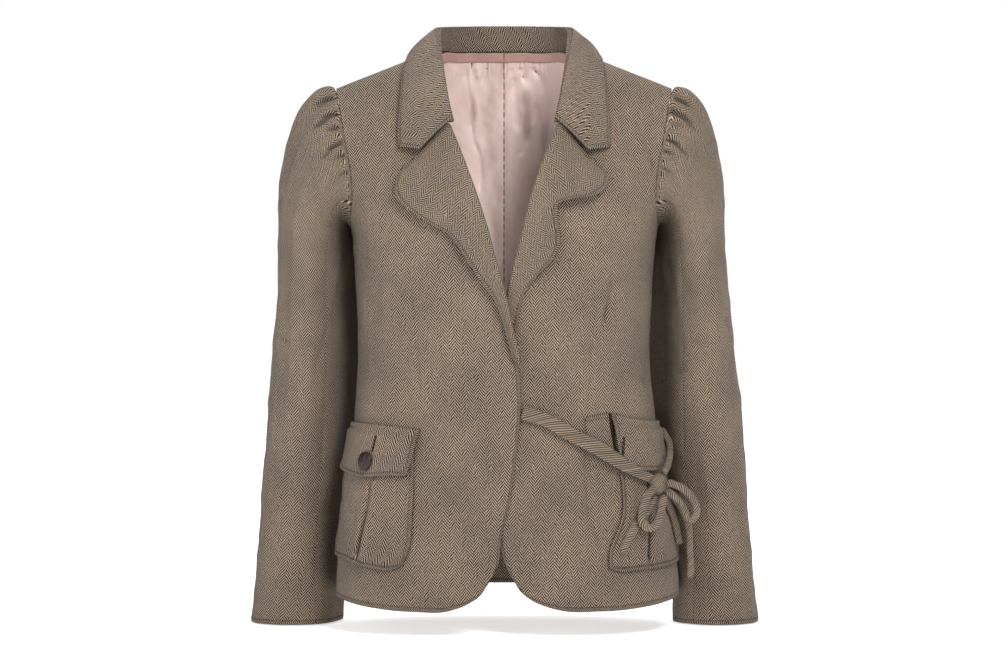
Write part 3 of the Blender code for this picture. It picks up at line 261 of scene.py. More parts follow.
FOLDS_BACK = np.array([
    (0, 0.01, 0, -0.59, 0, 0.0016, -0.0009), (0.045, -0.355, 0.125, -0.395, 0.005, 0.008, -0.0014),
    (-0.04, -0.36, -0.12, -0.385, -0.006, 0.009, -0.0013), (0.06, -0.375, 0.13, -0.42, 0.004, 0.007, 0.001),
    (0.12, -0.07, 0.142, -0.15, 0.003, 0.007, -0.0013),
    (-0.118, -0.065, -0.143, -0.14, -0.003, 0.006, -0.0014),
    (0.085, -0.22, 0.075, -0.36, 0, 0.0018, -0.001), (-0.085, -0.22, -0.075, -0.36, 0, 0.0018, -0.001),
    (0.075, -0.36, 0.085, -0.49, 0, 0.0018, -0.001), (-0.075, -0.36, -0.085, -0.49, 0, 0.0018, -0.001),
    (0.04, -0.45, 0.045, -0.57, 0, 0.012, -0.0015), (-0.03, -0.44, -0.038, -0.565, 0, 0.011, 0.0012),
    (-0.11, -0.43, -0.115, -0.56, 0, 0.012, -0.0014), (0.115, -0.45, 0.12, -0.55, 0, 0.011, 0.0012),
    (0.01, -0.03, 0.07, -0.05, -0.004, 0.007, -0.001),
    (-0.015, -0.035, -0.075, -0.048, 0.004, 0.007, -0.0009),
])
# folds of a sleeve: from degrees z, to degrees z, bow, width, height; 0 is outermost, the front positive
FOLDS_SLEEVE_RIGHT = np.array([
    (176, -0.202, 136, -0.29, 0.003, 0.005, -0.003), (150, -0.225, 118, -0.3, 0.003, 0.006, 0.0014),
    (128, -0.295, 104, -0.35, 0, 0.0055, -0.0018), (95, -0.25, 92, -0.45, 0.004, 0.0085, 0.0012),
    (30, -0.265, 24, -0.315, 0, 0.007, 0.0012), (14, -0.298, 74, -0.318, 0.003, 0.0035, -0.0014),
    (75, -0.43, 78, -0.58, 0, 0.01, -0.0011), (52, -0.34, 60, -0.45, 0, 0.008, -0.001),
    (110, -0.38, 100, -0.5, 0, 0.007, 0.0011), (-40, -0.29, -100, -0.33, 0.004, 0.005, -0.002),
    (-60, -0.305, -130, -0.36, 0.004, 0.006, -0.0018), (-90, -0.24, -160, -0.29, 0.004, 0.006, -0.002),
    (-80, -0.42, -84, -0.57, 0, 0.01, -0.0012), (-30, -0.43, -34, -0.55, 0, 0.01, 0.0011),
    (60, -0.15, 84, -0.23, 0.004, 0.008, -0.0013), (30, -0.135, 40, -0.22, 0, 0.008, 0.001),
])
FOLDS_SLEEVE_LEFT = np.array([
    (165, -0.212, 140, -0.255, 0.003, 0.0045, -0.0026), (140, -0.235, 120, -0.31, 0, 0.006, 0.0013),
    (45, -0.283, 8, -0.31, 0.002, 0.0034, -0.0017), (18, -0.285, 10, -0.318, 0, 0.0065, 0.0018),
    (150, -0.346, 108, -0.338, 0, 0.003, -0.0014), (126, -0.355, 84, -0.362, 0.002, 0.004, -0.001),
    (95, -0.37, 92, -0.57, 0, 0.0095, 0.0013), (50, -0.39, 54, -0.57, 0, 0.011, -0.0011),
    (70, -0.24, 84, -0.33, 0.003, 0.007, -0.0013), (112, -0.4, 108, -0.53, 0, 0.006, -0.0013),
    (-40, -0.295, -95, -0.325, 0.004, 0.005, -0.002), (-70, -0.315, -135, -0.355, 0.004, 0.006, -0.0018),
    (-90, -0.245, -158, -0.285, 0.004, 0.006, -0.002), (-76, -0.43, -80, -0.58, 0, 0.01, -0.0012),
    (52, -0.145, 76, -0.225, 0.004, 0.008, -0.0013), (-30, -0.42, -28, -0.56, 0, 0.01, 0.0011),
])
# tucks at a sleeve's head: degrees at the seam, degrees at the end, length, width in degrees, depth
TUCKS = np.array([
    (-66, -72, 0.026, 5, 0.0016), (-47, -50, 0.034, 5.5, 0.0022), (-27, -25, 0.03, 5, 0.002),
    (-9, -12, 0.038, 5.5, 0.0024), (10, 14, 0.032, 5, 0.0022), (27, 36, 0.04, 5, 0.0026),
    (43, 40, 0.024, 4, 0.0018), (56, 66, 0.036, 5, 0.0024), (73, 70, 0.022, 4, 0.0016),
    (88, 96, 0.026, 5, 0.0014),
])
# folds of the lapels, x on the own side, and of the lining: from x z, to x z, bow, width, height
FOLDS_LAPEL_RIGHT = np.array([
    (0.109, -0.133, 0.088, -0.144, 0.002, 0.0026, -0.0009),
    (0.1, -0.124, 0.096, -0.15, 0.003, 0.003, -0.0008), (0.082, -0.126, 0.07, -0.16, 0.002, 0.006, 0.001),
    (0.06, -0.15, 0.048, -0.19, 0, 0.007, -0.001), (0.092, -0.15, 0.072, -0.176, 0.002, 0.004, -0.0009),
    (0.042, -0.185, 0.02, -0.235, 0.002, 0.005, 0.0008),
])
FOLDS_LAPEL_LEFT = np.array([
    (0.043, -0.129, 0.056, -0.169, 0.002, 0.0045, -0.0018),
    (0.062, -0.128, 0.068, -0.156, 0.002, 0.004, 0.0012),
    (0.09, -0.123, 0.104, -0.14, 0.002, 0.003, -0.0009), (0.078, -0.123, 0.09, -0.15, 0, 0.004, 0.0008),
    (0.042, -0.17, 0.048, -0.215, 0.003, 0.005, -0.0012), (0.032, -0.2, 0.022, -0.245, 0, 0.004, 0.0008),
])
FOLDS_LINING = np.array([
    (-0.048, -0.003, -0.0375, -0.06, 0.003, 0.0026, -0.0022),
    (-0.0375, -0.056, -0.0272, -0.1, -0.003, 0.0024, -0.0024),
    (-0.029, -0.095, -0.0285, -0.145, 0.002, 0.003, -0.002),
    (-0.044, -0.012, -0.033, -0.064, 0.002, 0.0042, 0.0024),
    (0.033, -0.004, 0.046, -0.03, 0.003, 0.0028, -0.002),
    (0.011, -0.015, 0.017, -0.07, -0.003, 0.005, -0.0034),
    (0.035, -0.038, 0.033, -0.062, 0.002, 0.0036, -0.003),
    (0.026, -0.076, 0.018, -0.098, 0.002, 0.003, -0.0024),
    (0.025, -0.02, 0.024, -0.08, 0.003, 0.006, 0.003), (0.048, -0.05, 0.036, -0.13, 0.003, 0.006, 0.002),
    (-0.015, -0.01, -0.012, -0.12, 0, 0.008, 0.0016), (0.004, -0.005, 0.004, -0.27, 0, 0.003, 0.0012),
    (-0.02, -0.003, -0.026, -0.02, 0, 0.002, -0.0016), (0.018, -0.003, 0.023, -0.017, 0, 0.002, -0.0016),
    (-0.033, -0.003, -0.03, -0.016, 0, 0.002, 0.0014), (0.008, -0.003, 0.01, -0.018, 0, 0.0018, -0.0014),
    (0.027, -0.12, 0.015, -0.19, 0.003, 0.005, -0.0022), (-0.018, -0.15, -0.01, -0.22, 0, 0.006, -0.002),
    (-0.07, -0.04, -0.06, -0.15, 0, 0.009, -0.0024), (0.07, -0.05, 0.064, -0.16, 0, 0.009, -0.0024),
])
# edges of the pockets and flaps, front, back, lower and upper: share of the edge, degrees, height
POCKET_EDGES = {
    -1: (((0, 30.2, -0.547), (0.15, 28.2, -0.533), (0.5, 27.7, -0.49), (1, 29, -0.415)),
         ((0, 80, -0.542), (0.5, 80, -0.48), (1, 80, -0.415)),
         ((0, 30.2, -0.547), (0.1, 34, -0.552), (0.3, 44, -0.551), (0.6, 60, -0.5445), (1, 80, -0.542)),
         ((0, 29, -0.415), (1, 80, -0.415))),
    1: (((0, 31, -0.549), (0.15, 31.4, -0.533), (0.5, 38, -0.49), (1, 38.4, -0.41)),
        ((0, 80, -0.547), (0.5, 80, -0.48), (1, 80, -0.41)),
        ((0, 31, -0.549), (0.1, 34, -0.553), (0.3, 45, -0.5525), (0.6, 60, -0.5505), (1, 80, -0.547)),
        ((0, 38.4, -0.41), (1, 80, -0.41))),
}
FLAP_EDGES = {
    -1: (((0, 30.6, -0.453), (0.25, 29.4, -0.441), (1, 27.4, -0.403)),
         ((0, 84, -0.446), (1, 84, -0.397)),
         ((0, 30.6, -0.453), (0.25, 42, -0.4535), (0.4, 49, -0.4555), (0.7, 66, -0.452), (1, 84, -0.446)),
         ((0, 27.4, -0.403), (0.4, 46, -0.3985), (1, 84, -0.397))),
    1: (((0, 38.8, -0.444), (0.4, 38.3, -0.42), (1, 37.6, -0.386)),
        ((0, 84, -0.444), (1, 84, -0.396)),
        ((0, 38.8, -0.444), (0.4, 52, -0.449), (0.8, 72, -0.448), (1, 84, -0.444)),
        ((0, 37.6, -0.386), (0.4, 52, -0.3925), (1, 84, -0.396))),
}
# pleat of each pocket: its share of the width, and how far it leans over the height
PLEAT = {-1: (0.42, 0.10), 1: (0.36, 0.02)}
# flat strips beside the left flap, the second a dark strip of painted shadow under the flap's edge:
# name, material, lower and upper corners as degrees and height, thickness
FLAP_STRIPS = (
    ("cloth_flap_left_tab", "fine_tweed",
     ((27.2, -0.44), (37.7, -0.442)), ((26.6, -0.3895), (36.3, -0.3855)), 0.0019),
    ("flap_shadow_strip", "fine_thread",
     ((37.5, -0.443), (39.4, -0.443)), ((36.1, -0.386), (38.2, -0.386)), 0.0008),
)
# line of each flap's buttonhole, x z to x z, and its half width
BUTTONHOLES = {
    -1: ((-0.1365, -0.4105), (-0.1402, -0.4262), 0.0005),
    1: ((0.1275, -0.4120), (0.1262, -0.4300), 0.0007),
}
# knot: degrees round the body, height, lift; and its points down and round
KNOT_AT = (56.5, -0.4640, 0.0110)
KNOT_RINGS = 60
KNOT_TURNS = 80
# flat part of the tie: its thickness, and its route as share of its length, x, height, lift
BAND_THICK = 0.0032
TIE_BAND = np.array([
    (0, 0.019, -0.3845, 0.0006), (0.2, 0.046, -0.394, 0.0012), (0.42, 0.07, -0.409, 0.0046),
    (0.62, 0.0965, -0.4235, 0.0076), (0.8, 0.1212, -0.4405, 0.008), (0.92, 0.136, -0.45, 0.0086),
    (1, 0.1484, -0.4575, 0.009),
])
# button: degrees round the body, height, lift; and its outline: share of its radius, height over the flap
BUTTON_AT = (-50.4, -0.4383, 0.0079)
BUTTON_RINGS = 53
BUTTON_TURNS = 72
BUTTON_OUTLINE = np.array([
    (0.02, 0), (0.5, 0), (0.85, 0.0001), (0.96, 0.0007), (1, 0.0017), (0.985, 0.0026), (0.94, 0.0034),
    (0.87, 0.004), (0.78, 0.0045), (0.66, 0.0049), (0.52, 0.0052), (0.38, 0.0054), (0.22, 0.0055),
    (0.02, 0.0056),
])
# straps of the tie: solid, route as (degrees round the body, height, lift) or (x, y, z), far end
STRAPS = (
    ("tie_side", ((87.5, -0.406, 0.005), (84, -0.42, 0.0108), (76, -0.433, 0.012), (67, -0.444, 0.0132),
        (62, -0.449, 0.015)), "object"),
    ("tie_loop_inner", ((49.6, -0.471, 0.015), (47.5, -0.475, 0.0145), (45.5, -0.482, 0.015),
        (43, -0.493, 0.016), (42.8, -0.5035, 0.0165), (45.5, -0.509, 0.016), (49, -0.506, 0.016),
        (51.5, -0.498, 0.016), (54, -0.488, 0.0155), (56.5, -0.4785, 0.015)), "object"),
    ("tie_tail_inner", ((54.5, -0.477, 0.0076), (50, -0.487, 0.0078), (45, -0.498, 0.0078),
        (40, -0.51, 0.008), (37, -0.522, 0.0082), (34.6, -0.5335, 0.0085)), "bare"),
    ("tie_tail_middle", ((61.4, -0.48, 0.0098), (65.5, -0.489, 0.0084), (69.5, -0.501, 0.008),
        (72, -0.515, 0.008), (73, -0.53, 0.0082)), "bare"),
    ("tie_loop_outer", ((0.18, -0.08, -0.462), (0.19, -0.08, -0.466), (0.199, -0.0785, -0.4735),
        (0.2052, -0.0765, -0.484), (0.206, -0.075, -0.4945), (0.2, -0.073, -0.501),
        (0.1952, -0.0715, -0.4945), (0.192, -0.0715, -0.485), (0.186, -0.0735, -0.478),
        (0.18, -0.077, -0.4735)), "object"),
    ("tie_tail_outer", ((0.1822, -0.0676, -0.4766), (0.1895, -0.059, -0.486), (0.196, -0.049, -0.498),
        (0.2004, -0.043, -0.5126), (0.2015, -0.0395, -0.5341), (0.2025, -0.0385, -0.5503),
        (0.2015, -0.039, -0.5664)), "bare"),
)


def through(knots, values, at):
    """Smooth curve through the table's rows."""
    knots = np.asarray(knots, float)
    values = np.asarray(values, float)
    at = np.clip(np.asarray(at, float), knots[0], knots[-1])
    slopes = np.gradient(values, knots, axis=0)
    row = np.clip(np.searchsorted(knots, at, side="right") - 1, 0, len(knots) - 2)
    step = knots[row + 1] - knots[row]
    t = (at - knots[row]) / step
    if values.ndim > 1:
        t = t[..., None]
        step = step[..., None]
    near = (1 + 2 * t) * (1 - t) ** 2 * values[row] + t * (1 - t) ** 2 * step * slopes[row]
    return near + t * t * (3 - 2 * t) * values[row + 1] + t * t * (t - 1) * step * slopes[row + 1]


def soft(value, low, high):
    """Smooth step from 0 at low to 1 at high."""
    t = np.clip((value - low) / (high - low), 0, 1)
    return t * t * (3 - 2 * t)


def unit(vectors):
    """Vectors divided by their lengths."""
    return vectors / np.maximum(np.linalg.norm(vectors, axis=-1, keepdims=True), 1e-12)


def lobe_sin(angle):
    """Sine made squarer by its third harmonic: the share of the half width across the body."""
    return (1 + CROSSWAY) * np.sin(angle) + CROSSWAY * np.sin(3 * angle)


def lobe_cos(angle):
    """Cosine made squarer by its third harmonic: the share of the body's depth."""
    return (1 + CROSSWAY) * np.cos(angle) - CROSSWAY * np.cos(3 * angle)


def ridge(x):
    """Height of the shoulders and neck at a distance from the centre."""
    return through(RIDGE[:, 0], RIDGE[:, 1], np.abs(x))


def body(angle, z, back=False):
    """Point of the filled garment's outside; the angle is 0 at the centre and +-90 degrees at the sides."""
    angle, z = np.broadcast_arrays(np.asarray(angle, float), np.asarray(z, float))
    ring = through(RINGS[:, 0], RINGS[:, 1:], z)
    depth = ring[..., 3] if back else -ring[..., 2]
    power = BACK_POWER if back else FRONT_POWER
    across = ring[..., 1] * lobe_sin(angle)
    t = np.clip(1 - (ridge(across) - z) / SHOULDER_ROUND, 0, 1)
    y = depth * np.maximum(lobe_cos(angle), 0) * (1 - t ** power) ** (1 / power)
    return np.stack([across + ring[..., 0], y, z], -1)


QUARTER = np.linspace(0, np.pi / 2, 400)


def angle_at(x, z):
    """Angle round the body of the point at a distance x from the centre line."""
    half = through(RINGS[:, 0], RINGS[:, 2], z)
    return np.sign(x) * np.interp(np.abs(x) / half, lobe_sin(QUARTER), QUARTER)


def outward(angle, z, back=False):
    """Unit normal of the body, level along Y on the side seams and on the shoulder line."""
    angle, z = np.broadcast_arrays(np.asarray(angle, float), np.asarray(z, float))
    half = through(RINGS[:, 0], RINGS[:, 2], z)
    top = ridge(half * lobe_sin(angle))
    at = np.minimum(z, top - 0.0025)
    inside = np.clip(angle, -np.pi / 2 + 0.004, np.pi / 2 - 0.004)
    along = body(inside + 0.003, at, back) - body(inside - 0.003, at, back)
    up = body(inside, at + 0.0008, back) - body(inside, at - 0.0008, back)
    normal = unit(np.cross(along, up))
    normal = normal * np.where(normal[..., 1] * (1 if back else -1) < -1e-9, -1, 1)[..., None]
    seam = (np.abs(angle) > np.pi / 2 - 0.0005) | (z > top - 0.0006)
    normal[..., 1] = np.where(seam, 0, normal[..., 1])
    return unit(normal)


def lifted(angle, z, lift, back=False):
    """Point of the body moved along its normal."""
    lift = np.asarray(lift, float)
    return body(angle, z, back) + outward(angle, z, back) * lift[..., None]


def grid_normals(grid):
    """Unit normals of a grid of points: its two directions' cross product."""
    return unit(np.cross(np.gradient(grid, axis=1), np.gradient(grid, axis=0)))


def folds(table, across, up):
    """Sum over the table's folds of height times a bell of the distance from its bowed line.

    Each fold fades in and out along its line, and swells and shrinks a little on the way.
    """
    total = np.zeros(np.broadcast(across, up).shape)
    for x0, z0, x1, z1, bow, width, height in table:
        length = np.hypot(x1 - x0, z1 - z0)
        run_x = (x1 - x0) / length
        run_z = (z1 - z0) / length
        along = ((across - x0) * run_x + (up - z0) * run_z) / length
        t = np.clip(along, -0.2, 1.2)
        away = (up - z0) * run_x - (across - x0) * run_z - bow * 4 * t * (1 - t)
        ends = soft(along, -0.10, 0.22) * (1 - soft(along, 0.72, 1.10))
        uneven = 0.8 + 0.2 * np.sin(9 * along + 90 * (x0 + z1))
        total = total + height * uneven * ends * np.exp(-(away / width) ** 2)
    return total


def creases(table, across, up):
    """Sum over the narrow folds alone, where cloth is pinched or stitched."""
    # these narrow folds set where painted shade darkens the cloth
    return folds(table[table[:, 5] < CREASE_WIDTH], across, up)


def ripple(x, z):
    """Gentle unevenness of worn cloth: a few long waves of different directions, about 1 high."""
    wave = np.sin(71 * x + 23 * z + 1.3) * np.sin(19 * x - 54 * z + 0.4)
    wave = wave + 0.6 * np.sin(133 * x - 61 * z + 2.1) * np.sin(47 * x + 118 * z)
    return wave + 0.3 * np.sin(241 * x + 90 * z + 0.7) * np.sin(-85 * x + 203 * z + 1.9)


def sizes():
    """The scene's settings of size."""
    return bpy.context.scene.jacket_sizes


def colours():
    """The scene's settings of colour."""
    return bpy.context.scene.jacket_colours


def spaced(length, least=4, finer=1.0):
    """Number of grid lines for a length."""
    return max(least, int(round(length * finer / sizes().grid)) + 1)


def opening_x(side, z):
    """Distance of a front's opening edge from the centre line, to its own side."""
    table = EDGE_LEFT if side > 0 else EDGE_RIGHT
    return through(table[:, 0], table[:, 1], z)


def opening(side, z):
    """Angle of a front's opening edge, positive towards its own side."""
    middle = through(RINGS[:, 0], RINGS[:, 1], z)
    return angle_at(opening_x(side, z) - side * middle, z)


def tuck_under(x, z):
    """How far the under front lies inside the top front."""
    deep = through((-0.60, -0.36, -0.335, -0.31, -0.262, -0.240, -0.205, 0.02),
                   (0.0050, 0.0050, 0.0064, 0.0098, 0.0098, 0.0062, 0.0, 0.0), z)
    return deep * soft(-np.asarray(x), -0.080, -0.024)


def front_relief(side, angle, z, x):
    """Folds and unevenness of a front; they die away at its side seam, armhole, shoulder and neck."""
    hole = np.interp(-z, -ARMHOLE[:, 3], ARMHOLE[:, 1])
    hole = np.where(z < UNDERARM, 90, hole)
    room = np.radians(hole) - side * angle
    keep = soft(room, 0.01, 0.09) * soft(ridge(np.abs(x)) - z, 0.003, 0.020)
    own = side * x
    neck = soft(z, -0.085, -0.055) * (1 - soft(own - opening_x(side, z), 0.006, 0.026))
    table = FOLDS_LEFT if side > 0 else FOLDS_RIGHT
    height = folds(table, own, z) + 0.00035 * ripple(x, z)
    return sizes().folds * height * keep * (1 - neck)


def front_point(side, angle, z, lift):
    """Point on a front; the wearer's left front is tucked under the right one near the centre."""
    flat = body(side * angle, z)
    normal = outward(side * angle, z)
    lift = lift + front_relief(side, side * angle, z, flat[..., 0])
    if side > 0:
        lift = lift - tuck_under(flat[..., 0] + normal[..., 0] * lift, z)
    points = flat + normal * lift[..., None]
    points[..., 1] -= SEAM / 2
    return points


def patch(inner, outer, bottom, top, us, vs):
    """Surface coordinates (angle, height) blended between four edges."""
    u = us[None, :, None]
    v = vs[:, None, None]
    left = inner(vs)[:, None]
    right = outer(vs)[:, None]
    low = bottom(us)[None]
    high = top(us)[None]
    corners = (1 - u) * (1 - v) * low[:, :1] + u * (1 - v) * low[:, -1:]
    corners = corners + (1 - u) * v * high[:, :1] + u * v * high[:, -1:]
    return (1 - u) * left + u * right + (1 - v) * low + v * high - corners


def side_edge(v, back):
    """Plain line up the side and over the shoulder end, and the armhole's departure from it."""
    above = np.clip((v - UNDERARM_AT) / (1 - UNDERARM_AT), 0, 1)
    column = 2 if back else 1
    tip = ARMHOLE[0, (column, 3)]
    seam = HEM + (UNDERARM - HEM) * np.clip(v / UNDERARM_AT, 0, 1)
    plain = np.stack([90 + (tip[0] - 90) * above, seam + (tip[1] - UNDERARM) * above], -1)
    hole = through(ARMHOLE[:, 0], ARMHOLE[:, (column, 3)], 1 - above)
    apart = np.where((above > 0)[:, None], hole - plain, 0)
    scale = np.array([np.pi / 180, 1])
    return plain * scale, apart * scale


def table_edge(rows):
    """Edge curve from rows of (share, angle in degrees, height)."""
    rows = np.array(rows)

    def edge(t):
        found = through(rows[:, 0], rows[:, 1:], t)
        return np.stack([np.radians(found[:, 0]), found[:, 1]], -1)
    return edge


def run_lengths(grid, axis, level=None):
    """Distance walked along an axis of the grid; level is the coordinate that the walk leaves out."""
    steps = np.diff(grid, axis=axis)
    if level is not None:
        steps[..., level] = 0
    steps = np.linalg.norm(steps, axis=-1)
    start = np.zeros_like(np.take(steps, [0], axis))
    return np.concatenate([start, np.cumsum(steps, axis)], axis)


def weave_map(grid, plumb=False, turn=0.0):
    """Place of each point on the flat cloth, in metres: the walks along rows and up columns, turned.

    With plumb, the walk along a row leaves out height and starts from the first column's x, and height
    is taken as it is, so the stripes of a panel stay upright.
    """
    u = run_lengths(grid, 1, 2 if plumb else None) + (grid[:, :1, 0] if plumb else 0)
    v = grid[..., 2] if plumb else run_lengths(grid, 0)
    return np.stack([u * np.cos(turn) - v * np.sin(turn), u * np.sin(turn) + v * np.cos(turn)], -1)


def hem_map(grid, *edges):
    """Distance from the nearest of the named turned edges, and the distance along it."""
    across = run_lengths(grid, 1)
    up = run_lengths(grid, 0)
    found = {
        "left": (across, up), "right": (across[:, -1:] - across, up),
        "low": (up, across), "high": (up[-1:] - up, across),
    }
    away = np.full(across.shape, FAR)
    along = np.zeros(across.shape)
    for edge in edges:
        nearer = found[edge][0] < away
        away = np.where(nearer, found[edge][0], away)
        along = np.where(nearer, found[edge][1], along)
    return np.stack([away, along], -1)


def depth_map(relief, felt=0.0):
    """Height of the folds over the plain surface, in millimetres, and the least share of felted yarn."""
    # the height sets painted shade in the tweed's hollows, and painted shade and highlight on the satin
    return np.stack([relief * 1000, 0 * relief + felt], -1)


def front_grid(side):
    """Outer and inner points of a front from its opening edge to the side seam, hem to shoulder."""
    hems = HEM_LEFT if side > 0 else HEM_RIGHT
    table = EDGE_LEFT if side > 0 else EDGE_RIGHT
    tip = np.radians(ARMHOLE[0, 1])

    def inner(v):
        z = table[0, 0] + (table[-1, 0] - table[0, 0]) * v
        return np.stack([opening(side, z), z], -1)

    def bottom(u):
        angle = hems[0, 0] + (90 - hems[0, 0]) * u
        return np.stack([np.radians(angle), through(hems[:, 0], hems[:, 1], angle)], -1)

    def top(u):
        neck = opening(side, table[-1:, 0])[0]
        angle = neck + (tip - neck) * u
        z = np.full_like(u, -0.01)
        for _ in range(25):
            z = ridge(body(angle, z)[..., 0])
        return np.stack([angle, z], -1)

    def outline(v):
        return sum(side_edge(v, False))

    where = patch(inner, outline, bottom, top, np.linspace(0, 1, spaced(0.22, 4, FRONT_FINER)),
                  np.linspace(0, 1, spaced(0.60, 4, FRONT_FINER)))
    flat = np.zeros(where.shape[:2])
    angle, z = where[..., 0], where[..., 1]
    x = body(side * angle, z)[..., 0]
    return (front_point(side, angle, z, flat), front_point(side, angle, z, flat - sizes().cloth),
            creases(FOLDS_LEFT if side > 0 else FOLDS_RIGHT, side * x, z))


def back_where(across, up):
    """Angles and heights of the back between hem, side seams, armholes, shoulders and neck."""
    def right(v):
        return side_edge(v, True)[0]

    def left(v):
        return side_edge(v, True)[0] * np.array([-1, 1])

    def bottom(u):
        return np.stack([np.radians(90 * (2 * u - 1)), np.full_like(u, HEM)], -1)

    def top(u):
        across = np.abs(2 * u - 1)
        neck = through(np.arange(10), COLLAR[:, :2], across / NECK_SHARE * 4)
        half = COLLAR[4, 0] + 0.1050 * (across - NECK_SHARE) / (1 - NECK_SHARE)
        on_neck = across < NECK_SHARE + 1e-9
        half = np.where(on_neck, neck[:, 0], half)
        z = np.where(on_neck, neck[:, 1], ridge(half))
        angle = np.where(across > 0.9999, np.radians(ARMHOLE[0, 2]), angle_at(half, z))
        z = np.where(across > 0.9999, ARMHOLE[0, 3], z)
        return np.stack([np.sign(2 * u - 1) * angle, z], -1)

    where = patch(left, right, bottom, top, (across + 1) / 2, up)
    apart = side_edge(up, True)[1][:, None]
    share = np.abs(across) ** 2.5
    return where + apart * np.stack([np.sign(across) * share, share], -1)[None]


def back_grid():
    """Outer and inner points of the back, from the wearer's right side seam to the left one."""
    where = back_where(np.linspace(-1, 1, spaced(0.40)), np.linspace(0, 1, spaced(0.60)))
    angle, z = where[..., 0], where[..., 1]
    x = body(angle, z, True)[..., 0]
    hole = np.where(z < UNDERARM, 90, np.interp(-z, -ARMHOLE[:, 3], ARMHOLE[:, 2]))
    keep = soft(np.radians(hole) - np.abs(angle), 0.01, 0.09)
    keep = keep * soft(np.minimum(ridge(np.abs(x)), 0.0175) - z, 0.003, 0.020)
    relief = sizes().folds * keep * (folds(FOLDS_BACK, x, z) + 0.0004 * ripple(x + 0.4, z))
    move = np.array([0, SEAM / 2, 0])
    return (lifted(angle, z, relief, True) + move, lifted(angle, z, relief - sizes().cloth, True) + move,
            creases(FOLDS_BACK, x, z))


def armhole_rim(side, turn):
    """Outer rim, inner rim and direction away from the panels, at degrees from the armhole's top."""
    share = np.abs(turn) / 180
    found = []
    for back_side, column in ((False, 1), (True, 2)):
        def place(part):
            row = through(ARMHOLE[:, 0], ARMHOLE[:, (column, 3)], np.clip(part, 0, 1))
            return np.radians(row[:, 0]), row[:, 1], back_side

        normal = outward(*place(share))
        run = body(*place(share + 0.004)) - body(*place(share - 0.004))
        away = unit(np.cross(run, normal)) * (1 if back_side else -1)
        edge = body(*place(share)) + np.array([0, (1 if back_side else -1) * SEAM / 2, 0])
        found.append((edge, edge - normal * sizes().cloth, away))
    ahead = (turn >= 0)[:, None]
    outer, inside, away = (np.where(ahead, found[0][k], found[1][k]) for k in range(3))
    for ends in (np.abs(turn) < 1e-6, np.abs(turn) > 179.999):
        away[ends, 1] = 0
    away = unit(away)
    flip = np.array([side, 1, 1])
    return outer * flip, inside * flip, away * flip


def tucks(side, turns, walked, push):
    """The push with the head's tucks added, and the depth of the painted shade in the tucks.

    A tuck is a bell across its line, with a lower bell on either side, that fades along its length.
    """
    tucked = 0 * walked
    for seam_turn, end_turn, length, width, depth in TUCKS:
        line = seam_turn + (end_turn - seam_turn) * np.clip(walked / length, 0, 1.5)
        fade = soft(walked, 0.0, 0.004) * (1 - soft(walked, 0.35 * length, 1.15 * length))
        away = (turns[None] - line * (1 if side < 0 else 0.94)) / width
        push = push - 1.7 * depth * fade * np.exp(-away ** 2)
        push = push + 0.8 * depth * fade * np.exp(-(np.abs(away) - 1.5) ** 2)
        tucked = tucked - 0.6 * depth * fade * np.exp(-(away * 1.6) ** 2)
    return push, tucked


def sleeve_weave(grid, walked, top):
    """Weave map of a sleeve: the walk round it from its top column, and height along its own axis.

    Near the head, where the axis no longer runs along the cloth, the length walked takes its place.
    """
    round_about = run_lengths(grid, 1)
    height = -(grid @ unit(grid[-1].mean(0) - grid[len(grid) // 3].mean(0)))
    mostly = soft((walked[1:] + walked[:-1]) / 2, 0.045, 0.085)
    step = mostly * np.diff(height, axis=0) - (1 - mostly) * np.diff(walked, axis=0)
    v = height[-1:] - np.concatenate([np.cumsum(step[::-1], 0)[::-1], 0 * height[-1:]])
    return np.stack([round_about - round_about[:, top:top + 1], v], -1)


